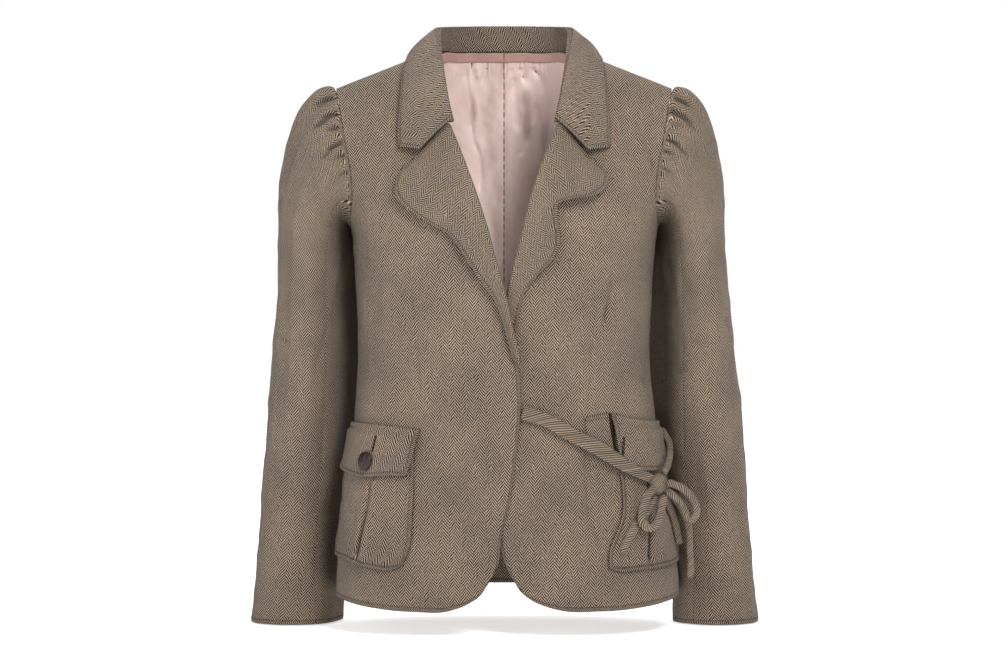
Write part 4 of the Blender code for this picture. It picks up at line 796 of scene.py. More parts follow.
def sleeve_grid(side, low_turn, high_turn):
    """Outer and inner points of a sleeve between two lengthways seams, from the armhole to the cuff.

    The head leaves the armhole on cubic curves and the rest is a stack of flattened rings; tucks and
    folds are pushed in along the surface's own normals.
    """
    table = SLEEVE_LEFT if side > 0 else SLEEVE_RIGHT
    count = spaced(0.23 * (high_turn - low_turn) / 360)
    plain = np.linspace(low_turn, high_turn, count)
    plain = np.concatenate([[2 * plain[0] - plain[1]], plain, [2 * plain[-1] - plain[-2]]])
    turns = (plain + 180) % 360 - 180
    outer, inside, away = armhole_rim(side, turns)
    gap = SEAM * (2 + 1.5 * soft(np.abs(turns), 100, 150))
    start = (outer + inside) / 2 + away * gap[:, None]
    head = through(HEAD[:, 0], HEAD[:, 1:], np.abs(turns))
    sign = np.where(turns >= 0, -1, 1)
    leave = np.stack([side * head[:, 0], sign * head[:, 1], head[:, 2]], -1) + away * 0.06
    angle = np.radians(turns)

    def ring(z):
        row = through(-table[:, 0], table[:, 1:], -z)
        middle = (row[..., 0] + row[..., 1]) / 2
        half = (row[..., 0] - row[..., 1]) / 2
        x = side * (middle + half * np.cos(angle))
        y = row[..., 2] - row[..., 3] * np.sin(angle)
        return np.stack(np.broadcast_arrays(x, y, z), -1)

    first = HEAD_FOOT + 0.022 * np.cos(angle)
    low = ring(first)
    down = (low - ring(first - 0.01)) / 0.01 * -head[:, 3][:, None]
    t = np.linspace(0, 1, spaced(0.16))[:, None, None]
    bend = (1 + 2 * t) * (1 - t) ** 2
    upper = bend * start + t * (1 - t) ** 2 * leave + (1 - bend) * low + t * t * (t - 1) * down
    s = np.linspace(0, 1, spaced(0.41))[1:, None]
    lower = ring(first + (CUFF - first) * s)
    grid = np.concatenate([upper, lower])
    normal = grid_normals(grid)
    middle = len(grid) // 2
    normal = normal * np.sign((normal[middle] * (grid[middle] - grid[middle].mean(0))).sum())
    normal[0] = unit(outer - inside)
    knots = (0, 0.04, 0.10, 0.2, 0.36, 0.52, 0.68, 0.84, 1.0)
    fall = np.concatenate([np.interp(t[:, 0, 0], knots, np.arange(9)), 8 + 6 * s[:, 0]])[:, None]
    puff = 0.0030 * (fall / 4) * np.exp(1 - fall / 4) * np.clip(np.cos(angle * 1.15), 0, 1) * (fall > 0)
    walked = run_lengths(grid, 0)
    push, tucked = tucks(side, turns, walked, puff * np.cos(angle * 11 + 0.6 * side))
    table = FOLDS_SLEEVE_LEFT if side > 0 else FOLDS_SLEEVE_RIGHT
    table = table * np.array([DEGREE, 1, DEGREE, 1, 1, 1, 1])
    keep = soft(walked, 0.0, 0.03)
    z = grid[..., 2]
    across = turns * DEGREE + 0 * z
    crease = folds(table, across, z) + 0.0005 * ripple(turns * DEGREE + side * 0.3 + 0 * z, z)
    grid = grid + normal * (push + sizes().folds * crease * keep)[..., None]
    # painted shade in the tucks and the narrow creases, carried to the tweed by the depth map
    relief = tucked + 0.30 * creases(table, across, z) * keep
    normal = unit(normal * 0.35 + grid_normals(grid) * np.sign((normal * grid_normals(grid)).sum()) * 0.65)
    normal[0] = unit(outer - inside)
    amount = through((0.16, 0.195, 0.215, 0.24, 0.28, 0.40, 0.45, 0.56, 0.63),
                     (0.004, 0.022, 0.028, 0.028, 0.028, 0.024,
                      0.017 - 0.005 * side, 0.013 - 0.006 * side, 0.010 - 0.005 * side), -z)
    inward = amount * np.exp(-(((turns + 360) % 360 - 222) / 32) ** 2) * soft(walked, 0.002, 0.018)
    grid[..., 0] -= side * inward
    grid, normal, relief, walked = (part[:, 1:-1] for part in (grid, normal, relief, walked))
    half = sizes().cloth / 2
    top = int(np.argmin(np.abs(plain[1:-1] - (0 if low_turn < 0 else 180))))
    return grid + normal * half, grid - normal * half, relief, sleeve_weave(grid, walked, top)


def lapel_grid(side):
    """Middle surface of a lapel: a half-round roll off the opening edge, then the leaf to its free edge."""
    table = LAPEL_LEFT if side > 0 else LAPEL_RIGHT
    z = np.linspace(table[0, 0], table[-1, 0], spaced(0.30))
    row = through(-table[:, 0], table, -z)
    rows = np.arange(len(z)) / (len(z) - 1)
    start = opening(side, z)
    finish = angle_at(row[:, 1], row[:, 2])
    bend = -0.0066 * (1 - soft(rows, 0.0, 0.13))
    cloth = sizes().cloth
    edge = front_point(side, start, z, np.full_like(z, -cloth / 2))
    over = front_point(side, start, z, np.full_like(z, cloth))
    normal = unit(over - edge)
    towards = start + (finish - start) * 0.1, z + (row[:, 2] - z) * 0.1
    step = front_point(side, *towards, np.full_like(z, -cloth / 2))
    across = np.cross(unit(np.gradient(edge, axis=0)), normal)
    across = across * np.sign((across * (step - edge)).sum(-1, keepdims=True))
    roll = row[:, 3:4]
    centre = edge - across * SEAM * 1.8 + normal * roll
    columns = [centre - normal * roll]
    for turn in np.radians(np.linspace(0, 180, 9)[1:]):
        columns.append(centre - roll * (normal * np.cos(turn) + across * np.sin(turn)))
    creases = FOLDS_LAPEL_LEFT if side > 0 else FOLDS_LAPEL_RIGHT
    for t in np.linspace(0, 1, spaced(0.085))[1:]:
        down = np.interp(t, (0, 0.58, 1), (0, 1, 0)) * bend
        lift = 2 * row[:, 3] - cloth / 2
        lift = lift + (row[:, 4] + 0.0012 - lift) * t * t * (3 - 2 * t)
        at = start + (finish - start) * t
        up = z + (row[:, 2] - z) * t + down
        x = body(side * at, up)[..., 0]
        crease = folds(creases, side * x, up) + 0.0003 * ripple(x + 0.2, up)
        columns.append(front_point(side, at, up, lift + crease * soft(t, 0.0, 0.2) * sizes().folds))
    return np.array(columns).transpose(1, 0, 2)


def collar_grid():
    """Middle surface of the collar: stand, half-round fold and leaf, from one gorge to the other."""
    cloth = sizes().cloth
    stations = np.linspace(-9, 9, spaced(0.56))
    side = np.where(stations < 0, -1.0, 1.0)
    row = through(np.arange(10), COLLAR, np.abs(stations))
    z = row[:, 1]
    behind = np.abs(stations) < 4
    front_x = np.where(side > 0, opening_x(1, z), opening_x(-1, z))
    half = np.where(behind, row[:, 0], front_x)
    angle = side * angle_at(half, z)
    lift = np.full_like(z, -cloth / 2)
    seam_front = lifted(angle, z, lift) - np.array([0, SEAM / 2, 0])
    seam_back = lifted(angle, z, lift, True) + np.array([0, SEAM / 2, 0])
    seam = np.where(behind[:, None], seam_back, seam_front)
    seam[2:-2] = (seam[:-4] + seam[1:-3] + seam[2:-2] + seam[3:-1] + seam[4:]) / 5
    flip = np.stack([side, np.ones_like(side), np.ones_like(side)], -1)
    fold = row[:, 2:5] * flip
    turn = np.radians(row[:, 5])
    rise = np.radians(row[:, 6])
    out = np.stack([np.cos(turn) * np.cos(rise), np.sin(turn) * np.cos(rise), np.sin(rise)], -1) * flip
    out[2:-2] = unit(out[:-4] + out[1:-3] + out[2:-2] + out[3:-1] + out[4:])
    up = unit(np.cross(out, unit(np.gradient(fold, axis=0))))
    roll = 0.0030
    centre = fold - up * roll
    stand = centre - out * roll
    face = np.where(behind[:, None], outward(angle, z, True), outward(angle, z))
    rising = unit(np.cross(np.gradient(seam, axis=0), face))
    rising = rising * np.sign((rising * (stand - seam)).sum(-1, keepdims=True))
    seam = seam + rising * SEAM * 1.4
    edge = row[:, 7:10] * flip
    columns = [seam + (stand - seam) * t for t in np.linspace(0, 1, 8)[:-1]]
    for step in np.radians(np.linspace(0, 180, 9)):
        columns.append(centre + roll * (-out * np.cos(step) + up * np.sin(step)))
    begin = centre + out * roll
    ending = 1 - soft(9 - np.abs(stations), 0.0, 1.6)
    uneven = 0.0005 * np.sin(11 * stations) + 0.0004 * np.sin(23 * stations + 1)
    for t in np.linspace(0, 1, spaced(0.06))[1:]:
        down = np.interp(t, (0, 0.56, 1), (0, 1, 0)) * ending
        bulge = out * (row[:, 10] * 4 * t * (1 - t) + uneven * t)[:, None]
        columns.append(begin + (edge - begin) * t + bulge + np.array([0, -0.004, -0.019]) * down[:, None])
    return np.array(columns).transpose(1, 0, 2)


def on_front(side, edges, columns, rows, lift_outer, lift_inner):
    """Outer and inner points of a piece on a front between four edges, lifts given over (across, up)."""
    us = np.linspace(0, 1, columns)
    vs = np.linspace(0, 1, rows)
    where = patch(*edges, us, vs)
    ring = through(RINGS[:, 0], RINGS[:, 1:3], where[..., 1])
    where[..., 0] -= side * ring[..., 0] / ring[..., 1]
    u, v = np.meshgrid(us, vs)
    return (front_point(side, where[..., 0], where[..., 1], lift_outer(u, v)),
            front_point(side, where[..., 0], where[..., 1], lift_inner(u, v)))


def pocket_grid(side):
    """Patch pocket with a soft belly and an upright pleat that opens towards its bottom.

    Its lift is the cloth's thickness and the rim's, the belly's and the pleat's bells and waves.
    """
    centre, lean = PLEAT[side]
    cloth = sizes().cloth

    def line(v):
        return centre + lean * (0.45 - v) + 0.012 * np.sin(9 * v)

    def pleat(u, v):
        open_low = 0.65 + 0.6 * soft(-v, -0.55, -0.15) * (1 - soft(-v, -0.12, -0.05))
        shown = soft(v, 0.02, 0.10) * (1 - soft(v, 0.66, 0.76))
        return np.exp(-((u - line(v)) / 0.017) ** 2) * open_low * shown

    def outer(u, v):
        beside = np.exp(-((np.abs(u - line(v)) - 0.050) / 0.030) ** 2)
        belly = np.sin(np.pi * u) * np.sin(np.pi * np.clip(v / 0.72, 0, 1)) * 0.0016
        puckers = 0.0004 * np.sin(38 * u + 11 * v) * np.sin(17 * v + 5 * u)
        near = np.minimum(np.minimum(u, 1 - u) * 0.10, v * 0.135)
        rim = 0.0011 * (1 - soft(near, 0.0020, 0.0052)) - 0.0006 * np.exp(-((near - 0.0056) / 0.0012) ** 2)
        below = v < 0.72
        shape = 0.0011 * beside - 0.0030 * pleat(u, v) + belly + puckers
        return ON_PANEL + cloth + rim * below + shape * below

    def inner(u, v):
        return np.where(pleat(u, v) > 0.25, 0.0003, ON_PANEL)

    columns, rows = spaced(0.10, 96), spaced(0.14, 100)
    u, v = np.meshgrid(np.linspace(0, 1, columns), np.linspace(0, 1, rows))
    # painted shade: the pleat's line goes into the depth map as a trough, so the tweed darkens it
    depth = np.stack([-1.1 * pleat(u, v), 0 * u], -1)
    edges = [table_edge(rows_of_edge) for rows_of_edge in POCKET_EDGES[side]]
    return on_front(side, edges, columns, rows, outer, inner) + (depth,)


def flap_grid(side):
    """Pocket flap that stands off the front over its pocket, curled a little at its corner and lower edge."""
    cloth = sizes().cloth

    def inner(u, v):
        curl = 0.0016 * (1 - soft(u, 0.0, 0.13))
        curl = curl + 0.0014 * (1 - soft(v, 0.0, 0.16)) * (0.6 + 0.4 * np.sin(13 * u + 2))
        hang = 0.0036 * soft(-v, -0.95, -0.80)
        return ON_PANEL + hang + 0.0012 * soft(-v, -0.5, 0.0) + curl * soft(-v, -0.9, -0.7)

    def outer(u, v):
        ridges = 0.0014 * np.exp(-((v - 0.955) / 0.035) ** 2) - 0.0010 * np.exp(-((v - 0.86) / 0.03) ** 2)
        puckers = 0.00025 * np.sin(29 * u + 6 * v + 1) * np.sin(9 * v + 7 * u)
        return inner(u, v) + cloth + ridges + puckers

    edges = [table_edge(rows) for rows in FLAP_EDGES[side]]
    return on_front(side, edges, spaced(0.10, 80), spaced(0.06, 50), outer, inner)


def lining_grid():
    """Outer and inner points of the back lining, with its neck band, centre seam, gathers and creases.

    It follows the back at a depth of the cloth and its own folds; near the neck it rises to the seam.
    """
    across = np.linspace(-1, 1, spaced(0.40, 4, 1.1))
    across = 0.955 * (0.42 * across + 0.58 * across ** 3)
    up = 1 - np.linspace(1, 0, spaced(0.60)) ** 1.7
    where = back_where(across, np.interp(up, (0, 1), (0.060, 0.997)))
    angle, z = where[..., 0], where[..., 1]
    x = body(angle, z, True)[..., 0]
    pleat = 0.0022 * np.exp(-(np.degrees(angle) / 2.2) ** 2)
    top = z.max(0)
    below = top[None] - z
    gathers = soft(below, 0.008, 0.011) * (1 - soft(below, 0.012, 0.040))
    gathers = gathers * 0.0009 * np.sin(430 * x + 30 * np.sin(60 * x)) * np.sin(150 * x + 1)
    band = 0.0012 * (1 - soft(below, 0.0085, 0.0100))
    seam = -0.0012 * np.exp(-(x / 0.0013) ** 2)
    deep = -sizes().cloth - 0.0024 - pleat - band
    crease = folds(FOLDS_LINING, x, z) + gathers + seam + 0.0005 * ripple(2.2 * x, 1.4 * z)
    deep = np.minimum(deep - 0.0010 - crease * 1.5, -sizes().cloth - 0.0006)
    deep = np.maximum(deep, -0.0190)
    keep = soft(np.minimum(np.radians(84) - np.abs(angle), 1), 0, 0.1)
    deep = deep * keep + (-sizes().cloth - 0.0026) * (1 - keep)
    move = np.array([0, SEAM / 2, 0])
    outer = lifted(angle, z, deep, True) + move
    inner = lifted(angle, z, deep - sizes().lining, True) + move
    rise = (1 - soft(below, 0, 0.06)) * (1 - soft(np.abs(x), 0.066, 0.086))
    rise = rise[..., None] * np.array([0, -0.0004, 0.0070])
    outer, inner = outer + rise, inner + rise
    # depth map for the satin's painted shade and highlight on its folds, gathers and seam
    hollow = folds(FOLDS_LINING, x, z) * 1.0 + 0.4 * gathers + 0.5 * seam
    return outer, inner, np.stack([x, below], -1), depth_map(hollow)


class Link:
    """A shader socket that is calculated with: each operation adds its Math node."""

    def __init__(self, paint, socket):
        self.paint = paint
        self.socket = socket

    def math(self, operation, *others):
        """A Math node on this socket and the others."""
        values = dict(enumerate((self,) + others))
        return self.paint.add("ShaderNodeMath", {"operation": operation}, values)

    def __add__(self, other):
        return self.math("ADD", other)

    def __sub__(self, other):
        return self.math("SUBTRACT", other)

    def __rsub__(self, other):
        return self.paint.add("ShaderNodeMath", {"operation": "SUBTRACT"}, {0: other, 1: self})

    def __mul__(self, other):
        return self.math("MULTIPLY", other)

    __radd__ = __add__
    __rmul__ = __mul__

    def wave(self):
        """Sine with a period of 1, from 0 to 1."""
        return (self * (2 * np.pi)).math("SINE") * 0.5 + 0.5

    def step(self, low, high):
        """Smooth step from 0 at low to 1 at high."""
        values = {"Value": self, "From Min": low, "From Max": high}
        return self.paint.add("ShaderNodeMapRange", {"interpolation_type": "SMOOTHSTEP"}, values)

    def bell(self, middle, width):
        """1 at the middle, falling smoothly to 0 at the width."""
        return 1 - (self - middle).math("ABSOLUTE").step(0, width)


class Paint:
    """A material in the making: its nodes are added by one method and joined by their sockets."""

    def __init__(self, name, **constants):
        self.material = bpy.data.materials.new(name)
        self.material.use_nodes = True
        self.tree = self.material.node_tree
        self.shader = self.tree.nodes["Principled BSDF"]
        for socket, value in constants.items():
            self.shader.inputs[socket.replace("_", " ")].default_value = value

    def add(self, kind, settings, values, output=0):
        """A node of a kind: its settings first, then its sockets' values or links."""
        node = self.tree.nodes.new(kind)
        for key, value in settings.items():
            setattr(node, key, value)
        for key, value in values.items():
            self.join(value, node.inputs[key])
        return Link(self, node.outputs[output])

    def join(self, value, socket):
        """Link a socket, or set its value."""
        if isinstance(value, Link):
            self.tree.links.new(value.socket, socket)
        else:
            socket.default_value = value

    def feed(self, socket, value):
        """Join a value to one of the shader's sockets."""
        self.join(value, self.shader.inputs[socket])

    def place(self, layer):
        """Both coordinates of a UV map and their vector."""
        vector = self.add("ShaderNodeUVMap", {"uv_map": layer}, {})
        return (vector, self.add("ShaderNodeSeparateXYZ", {}, {0: vector}, 0),
                self.add("ShaderNodeSeparateXYZ", {}, {0: vector}, 1))

    def object_place(self):
        """Place in the piece's own coordinates."""
        return self.add("ShaderNodeTexCoord", {}, {}, "Object")

    def noise(self, vector, scale, detail=2.0, roughness=0.5):
        """Cloudy noise, about 0 to 1."""
        values = {"Vector": vector, "Scale": scale, "Detail": detail, "Roughness": roughness}
        return self.add("ShaderNodeTexNoise", {}, values)

    def blend(self, factor, first, second, kind="MIX"):
        """Mix of two colours."""
        settings = {"data_type": "RGBA", "blend_type": kind}
        return self.add("ShaderNodeMix", settings, {0: factor, 6: first, 7: second}, 2)

    def bump(self, height, strength, distance):
        """Bump of a height on the shader's normal."""
        values = {"Strength": strength, "Distance": distance, "Height": height}
        self.feed("Normal", self.add("ShaderNodeBump", {}, values))


def shade(colour, factor=1.0):
    """A colour setting made darker or brighter, with full alpha."""
    return tuple(np.clip(np.array(colour[:3]) * factor, 0, 1)) + (1.0,)


def tweed_paint(name):
    """Herringbone tweed: light and dark yarns in leaning lines that turn back at every stripe.

    A line's phase is height over the yarn pitch plus the zigzag of the width over the stripe; flecks, a
    slow drift of tone and loose fibre are added. Near a turned edge the yarn lies slantwise over the
    fold, with a stitched groove inside it. Painted shade darkens the creases of the depth map, the
    stitched groove and a thin line along the rim of every turned edge.
    """
    size, colour = sizes(), colours()
    paint = Paint(name, Roughness=0.95, Specular_IOR_Level=0.12, Sheen_Weight=0.05, Sheen_Roughness=0.6)
    place, across, up = paint.place("weave")
    away, along = paint.place("hem")[1:]
    depth, felt = paint.place("depth")[1:]
    wander = paint.noise(place, 55, 2.0)
    fibre = paint.noise(place, 900, 3.0, 0.65)
    fluff = paint.noise(place, 330, 2.0, 0.6)
    drift = paint.noise(place, 14, 3.0, 0.6)
    width = across + (wander - 0.5) * 0.0016 + (fluff - 0.5) * 0.0007
    height = up + (paint.noise(place, 75, 1.0) - 0.5) * 0.0018
    zigzag = width.math("PINGPONG", size.stripe) * (1 / size.stripe)
    turned = (width * (0.5 / size.stripe)).math("FRACT").step(0.495, 0.505)
    line = (height * (1 / size.yarn) + zigzag * size.lean + turned * 0.5 + (fluff - 0.5) * 0.5).wave()
    ribs = (width * (4 / size.stripe)).wave()
    yarn = line * 0.98 + fibre * 0.42 + ribs * 0.08 + (fluff - 0.5) * 0.30 + (drift - 0.5) * 0.25 - 0.27
    edge = 1 - away.step(0.0036, 0.0046)
    slant = ((along + away * 0.55) * (1 / FOLD_PITCH) + (fluff - 0.5) * 0.5).wave()
    yarn = yarn * (1 - edge) + (slant * 0.62 + fibre * 0.55 - 0.10) * edge
    light = yarn.step(0.56, 0.68)
    felted = (paint.noise(place, 26, 2.0).step(0.54, 0.78) * 0.38).math("MAXIMUM", felt)
    light = light * (1 - felted) + (0.31 + (fibre - 0.5) * 1.1) * felted
    stitch = (along * (1 / HEM_STITCH)).wave().step(0.15, 0.6)
    groove = away.bell(0.0049, 0.0011) * (0.45 + stitch * 0.55)
    tone = paint.blend(light, shade(colour.dark_yarn), shade(colour.light_yarn))
    speck = paint.noise(place, 260, 1.0).step(0.66, 0.74) * light
    tone = paint.blend(speck * 0.30, tone, shade(colour.fleck))
    worn = paint.blend(drift.step(0.3, 0.7), (0.92, 0.93, 0.95, 1), (1.06, 1.03, 1.0, 1))
    tone = paint.blend(1.0, tone, worn, "MULTIPLY")
    # painted shade: the creases of the depth map, the stitched groove and a thin line at the very rim are
    # darkened towards the dark yarn
    hollow = (0 - depth).step(0.12, 1.05)
    shadow = groove * 0.60 + hollow * 0.66 + away.bell(0.0, 0.0010) * 0.65
    tone = paint.blend(shadow.math("MINIMUM", 0.85), tone, shade(colour.dark_yarn, 0.9))
    paint.feed("Base Color", tone)
    roll = away.bell(0.0022, 0.0026)
    relief = light * 0.55 + fibre * 0.35 + fluff * 0.3 + roll * 1.3 - groove * 1.7
    paint.bump(relief, 0.75, 0.00055)
    return paint.material


def satin_paint(name):
    """Satin lining: fine crosswise threads, painted shade and highlight on its folds, and a darker neck band.
    """
    colour = colours()
    paint = Paint(name, Specular_IOR_Level=0.45, Anisotropic=0.45, Sheen_Weight=0.15, Sheen_Roughness=0.4)
    place, across, below = paint.place("place")
    cloudy = paint.noise(place, 28, 3.0, 0.55)
    tone = paint.blend(cloudy.step(0.25, 0.75), shade(colour.satin_shade), shade(colour.satin))
    # painted shade in the hollows of the depth map, and a painted highlight on the folds of the other sign
    hollow = paint.place("depth")[1]
    tone = paint.blend(hollow.step(0.2, 2.4) * 0.65, tone, shade(colour.satin_shade, 0.52))
    tone = paint.blend((0 - hollow).step(0.2, 2.0) * 0.5, tone, shade(colour.satin, 1.05))
    band = 1 - below.step(0.0086, 0.0096)
    tone = paint.blend(band * 0.85, tone, shade(colour.neck_band))
    seam = across.bell(0.0, 0.0014)
    stitches = (below * (1 / SEAM_STITCH)).wave().step(0.2, 0.5)
    line = below.bell(0.0094, 0.0009) * 0.8
    tone = paint.blend(seam * (0.35 + stitches * 0.60) + line * 0.5, tone, shade(colour.satin_shade, 0.16))
    paint.feed("Base Color", tone)
    threads = (across * (1 / SATIN_WARP)).wave() * 0.5 + (below * (1 / SATIN_WEFT)).wave() * 0.5
    paint.feed("Roughness", threads * 0.06 + cloudy * 0.10 + 0.34)
    puckers = paint.noise(place, 190, 2.0, 0.5) * (below.bell(0.012, 0.012) + seam * 0.6)
    paint.bump(threads * 0.06 + puckers * 1.6 + cloudy * 1.2 - seam * 0.8 - line * 1.2, 0.6, 0.0007)
    return paint.material


def horn_paint(name):
    """Plum brown button: cloudy polished horn with fine turned lines."""
    colour = colours()
    paint = Paint(name, Coat_Weight=0.12, Coat_Roughness=0.2, Specular_IOR_Level=0.25)
    place = paint.object_place()
    cloudy = paint.noise(place, 160, 4.0, 0.6)
    veins = paint.noise(place, 520, 3.0, 0.7)
    tone = paint.blend(cloudy.step(0.35, 0.7), shade(colour.button, 0.75), shade(colour.button, 1.35))
    tone = paint.blend(veins.step(0.58, 0.66) * 0.25, tone, shade(colour.button, 2.6))
    paint.feed("Base Color", tone)
    paint.feed("Roughness", veins * 0.15 + 0.30)
    paint.bump(cloudy * 0.6 + veins * 0.3, 0.25, 0.0002)
    return paint.material


def thread_paint(name):
    """Buttonhole and sewing thread, and the flap's painted shadow strip: a dark twist with paler fibres."""
    colour = colours()
    paint = Paint(name, Roughness=0.8, Specular_IOR_Level=0.15)
    place = paint.object_place()
    twist = paint.noise(place, 1400, 2.0, 0.7)
    tone = paint.blend(twist.step(0.35, 0.65), shade(colour.dark_yarn, 0.7), shade(colour.dark_yarn, 1.3))
    paint.feed("Base Color", tone)
    paint.bump(twist, 0.7, 0.0004)
    return paint.material


def paper_paint(name):
    """White studio paper with a faint grain, which glows more the further it lies from the jacket."""
    paint = Paint(name, Roughness=0.9, Specular_IOR_Level=0.1, Emission_Strength=1.0)
    place = paint.object_place()
    grain = paint.noise(place, 40, 2.0)
    away = paint.add("ShaderNodeVectorMath", {"operation": "LENGTH"}, {0: place}, "Value")
    glow = paint.blend(away.step(0.9, 2.4), (0.55, 0.55, 0.55, 1), (1.2, 1.2, 1.2, 1))
    paint.feed("Emission Color", glow)
    white = colours().floor
    paint.feed("Base Color", paint.blend(grain, shade(white, 0.985), shade(white)))
    return paint.material


def material(name):
    """One of the jacket's materials, made when it is first asked for."""
    makers = {"fine_tweed": tweed_paint, "fine_satin": satin_paint, "fine_horn": horn_paint,
              "fine_thread": thread_paint, "studio_paper": paper_paint}
    return bpy.data.materials.get(name) or makers[name](name)


def put(name, points, faces, corners, maps, paint, sharp=48):
    """Mesh object from points, faces and, for every face corner, a row of each UV map.

    Faces that meet at more than sharp degrees keep a hard edge.
    """
    mesh = bpy.data.meshes.new(name)
    mesh.from_pydata(points.tolist(), [], faces)
    if paint == "fine_tweed":
        maps = {"depth": np.zeros_like(maps["weave"]), **maps}
    for label, values in maps.items():
        layer = mesh.uv_layers.new(name=label)
        layer.data.foreach_set("uv", values[corners].astype(np.float32).ravel())
    mesh.update()
    mesh.materials.append(material(paint))
    mesh.polygons.foreach_set("use_smooth", np.ones(len(faces), dtype=bool))
    mesh.set_sharp_from_angle(angle=np.radians(sharp))
    made = bpy.data.objects.new(name, mesh)
    bpy.context.collection.objects.link(made)
    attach(made, "root")
    return made


def quads(index):
    """Four-cornered faces between the neighbours of a grid of point numbers."""
    return np.stack([index[:-1, :-1], index[:-1, 1:], index[1:, 1:], index[1:, :-1]], -1).reshape(-1, 4)


def facing_out(points, faces):
    """The faces of a closed shell, turned round if its volume comes out negative."""
    a, b, c, d = (points[faces[:, k]] for k in range(4))
    volume = (np.cross(b, c) * a).sum() + (np.cross(c, d) * a).sum()
    return faces if volume > 0 else faces[:, ::-1]


def wall(name, outer, inner, maps, paint="fine_tweed", pinch=PINCH):
    """Closed shell between two grids of points; its outermost rows and columns are drawn together."""
    rows, columns = outer.shape[:2]
    outer, inner = outer.copy(), inner.copy()
    for rim in (np.s_[0], np.s_[-1], np.s_[:, 0], np.s_[:, -1]):
        middle = (outer[rim] + inner[rim]) / 2
        outer[rim] = middle + (outer[rim] - middle) * (1 - pinch)
        inner[rim] = middle + (inner[rim] - middle) * (1 - pinch)
    index = np.arange(rows * columns).reshape(rows, columns)
    count = rows * columns
    faces = [quads(index), quads(index)[:, ::-1] + count]
    for loop in (index[0], index[-1][::-1], index[:, 0][::-1], index[:, -1]):
        faces.append(np.stack([loop[1:], loop[:-1], loop[:-1] + count, loop[1:] + count], -1))
    points = np.concatenate([outer.reshape(-1, 3), inner.reshape(-1, 3)])
    faces = facing_out(points, np.concatenate(faces))
    maps = {label: np.tile(values.reshape(-1, 2), (2, 1)) for label, values in maps.items()}
    return put(name, points, faces.tolist(), faces.ravel(), maps, paint)


def thick(grid):
    """Outer and inner points half the cloth's thickness either side of a middle surface."""
    normal = grid_normals(grid) * sizes().cloth / 2
    return grid + normal, grid - normal


def tube(name, centre, rings, maps, paint="fine_tweed", sharp=60):
    """Closed tube through rings of points (step, turn), with a pole at each end, in centre's first and last.

    The maps have one column more than the rings, for the seam where a ring closes.
    """
    rows, count = rings.shape[:2]
    index = np.arange(rows * (count + 1)).reshape(rows, count + 1)
    vertex = np.arange(rows * count).reshape(rows, count)
    vertex = np.concatenate([vertex, vertex[:, :1]], 1)
    sides, corner = quads(vertex), quads(index)
    points = np.concatenate([rings.reshape(-1, 3), centre[[0, -1]]])
    a, b, c, d = (points[sides[:, k]] for k in range(4))
    middle = a - centre.mean(0)
    after, before = np.s_[1:], np.s_[:-1]
    if (np.cross(b, c) * middle).sum() + (np.cross(c, d) * middle).sum() < 0:
        sides, corner = sides[:, ::-1], corner[:, ::-1]
        after, before = before, after
    pole = np.full(count, rows * count)
    low = np.stack([vertex[0, after], vertex[0, before], pole], -1)
    high = np.stack([vertex[-1, before], vertex[-1, after], pole + 1], -1)
    low_corner = np.stack([index[0, after], index[0, before], index[0, :-1]], -1)
    high_corner = np.stack([index[-1, before], index[-1, after], index[-1, :-1]], -1)
    corners = np.concatenate([corner.ravel(), low_corner.ravel(), high_corner.ravel()])
    faces = sides.tolist() + low.tolist() + high.tolist()
    maps = {label: values.reshape(-1, 2) for label, values in maps.items()}
    return put(name, points, faces, corners, maps, paint, sharp)


def resampled(rows, count):
    """Evenly spaced points on the smooth curve through rows of (x, y, z)."""
    length = np.concatenate([[0], np.cumsum(np.linalg.norm(np.diff(rows, axis=0), axis=1))])
    fine = through(length, rows, np.linspace(0, length[-1], 12 * count))
    walked = np.concatenate([[0], np.cumsum(np.linalg.norm(np.diff(fine, axis=0), axis=1))])
    at = np.linspace(0, walked[-1], count)
    return np.stack([np.interp(at, walked, fine[:, k]) for k in range(3)], -1), walked[-1]


def on_left(rows):
    """Points over the wearer's left front from rows of (degrees round the body, height, lift)."""
    rows = np.array(rows)
    return lifted(np.radians(rows[:, 0]), rows[:, 1], rows[:, 2])


def reach(rows, tree):
    """Rows of a strap with each end near the knot moved along the strap until its rim almost touches it."""
    rows = np.array(rows, dtype=float)
    turn = np.linspace(0, 2 * np.pi, 16, endpoint=False)[:, None]
    for end, neighbour in ((0, 1), (-1, -2)):
        direction = unit(rows[end] - rows[neighbour])
        across = unit(np.cross(direction, np.array([0.3, 0.2, 1.0])))
        ring = (across * np.cos(turn) + np.cross(direction, across) * np.sin(turn)) * sizes().tie / 2
        rim = np.concatenate([ring, [[0, 0, 0]]]) + rows[end]
        if tree.find_nearest(Vector(rows[end]))[3] > NEAR_KNOT:
            continue
        for move in np.arange(*REACH):
            if min(tree.find_nearest(Vector(point))[3] for point in rim + direction * move) < SEAM:
                break
        rows[end] += direction * move
    return rows


def one_line(along):
    """Weave map of a narrow piece: always the same place across a stripe, and a distance along its lines."""
    return np.stack([0 * along + 0.3 * sizes().stripe, along], -1)


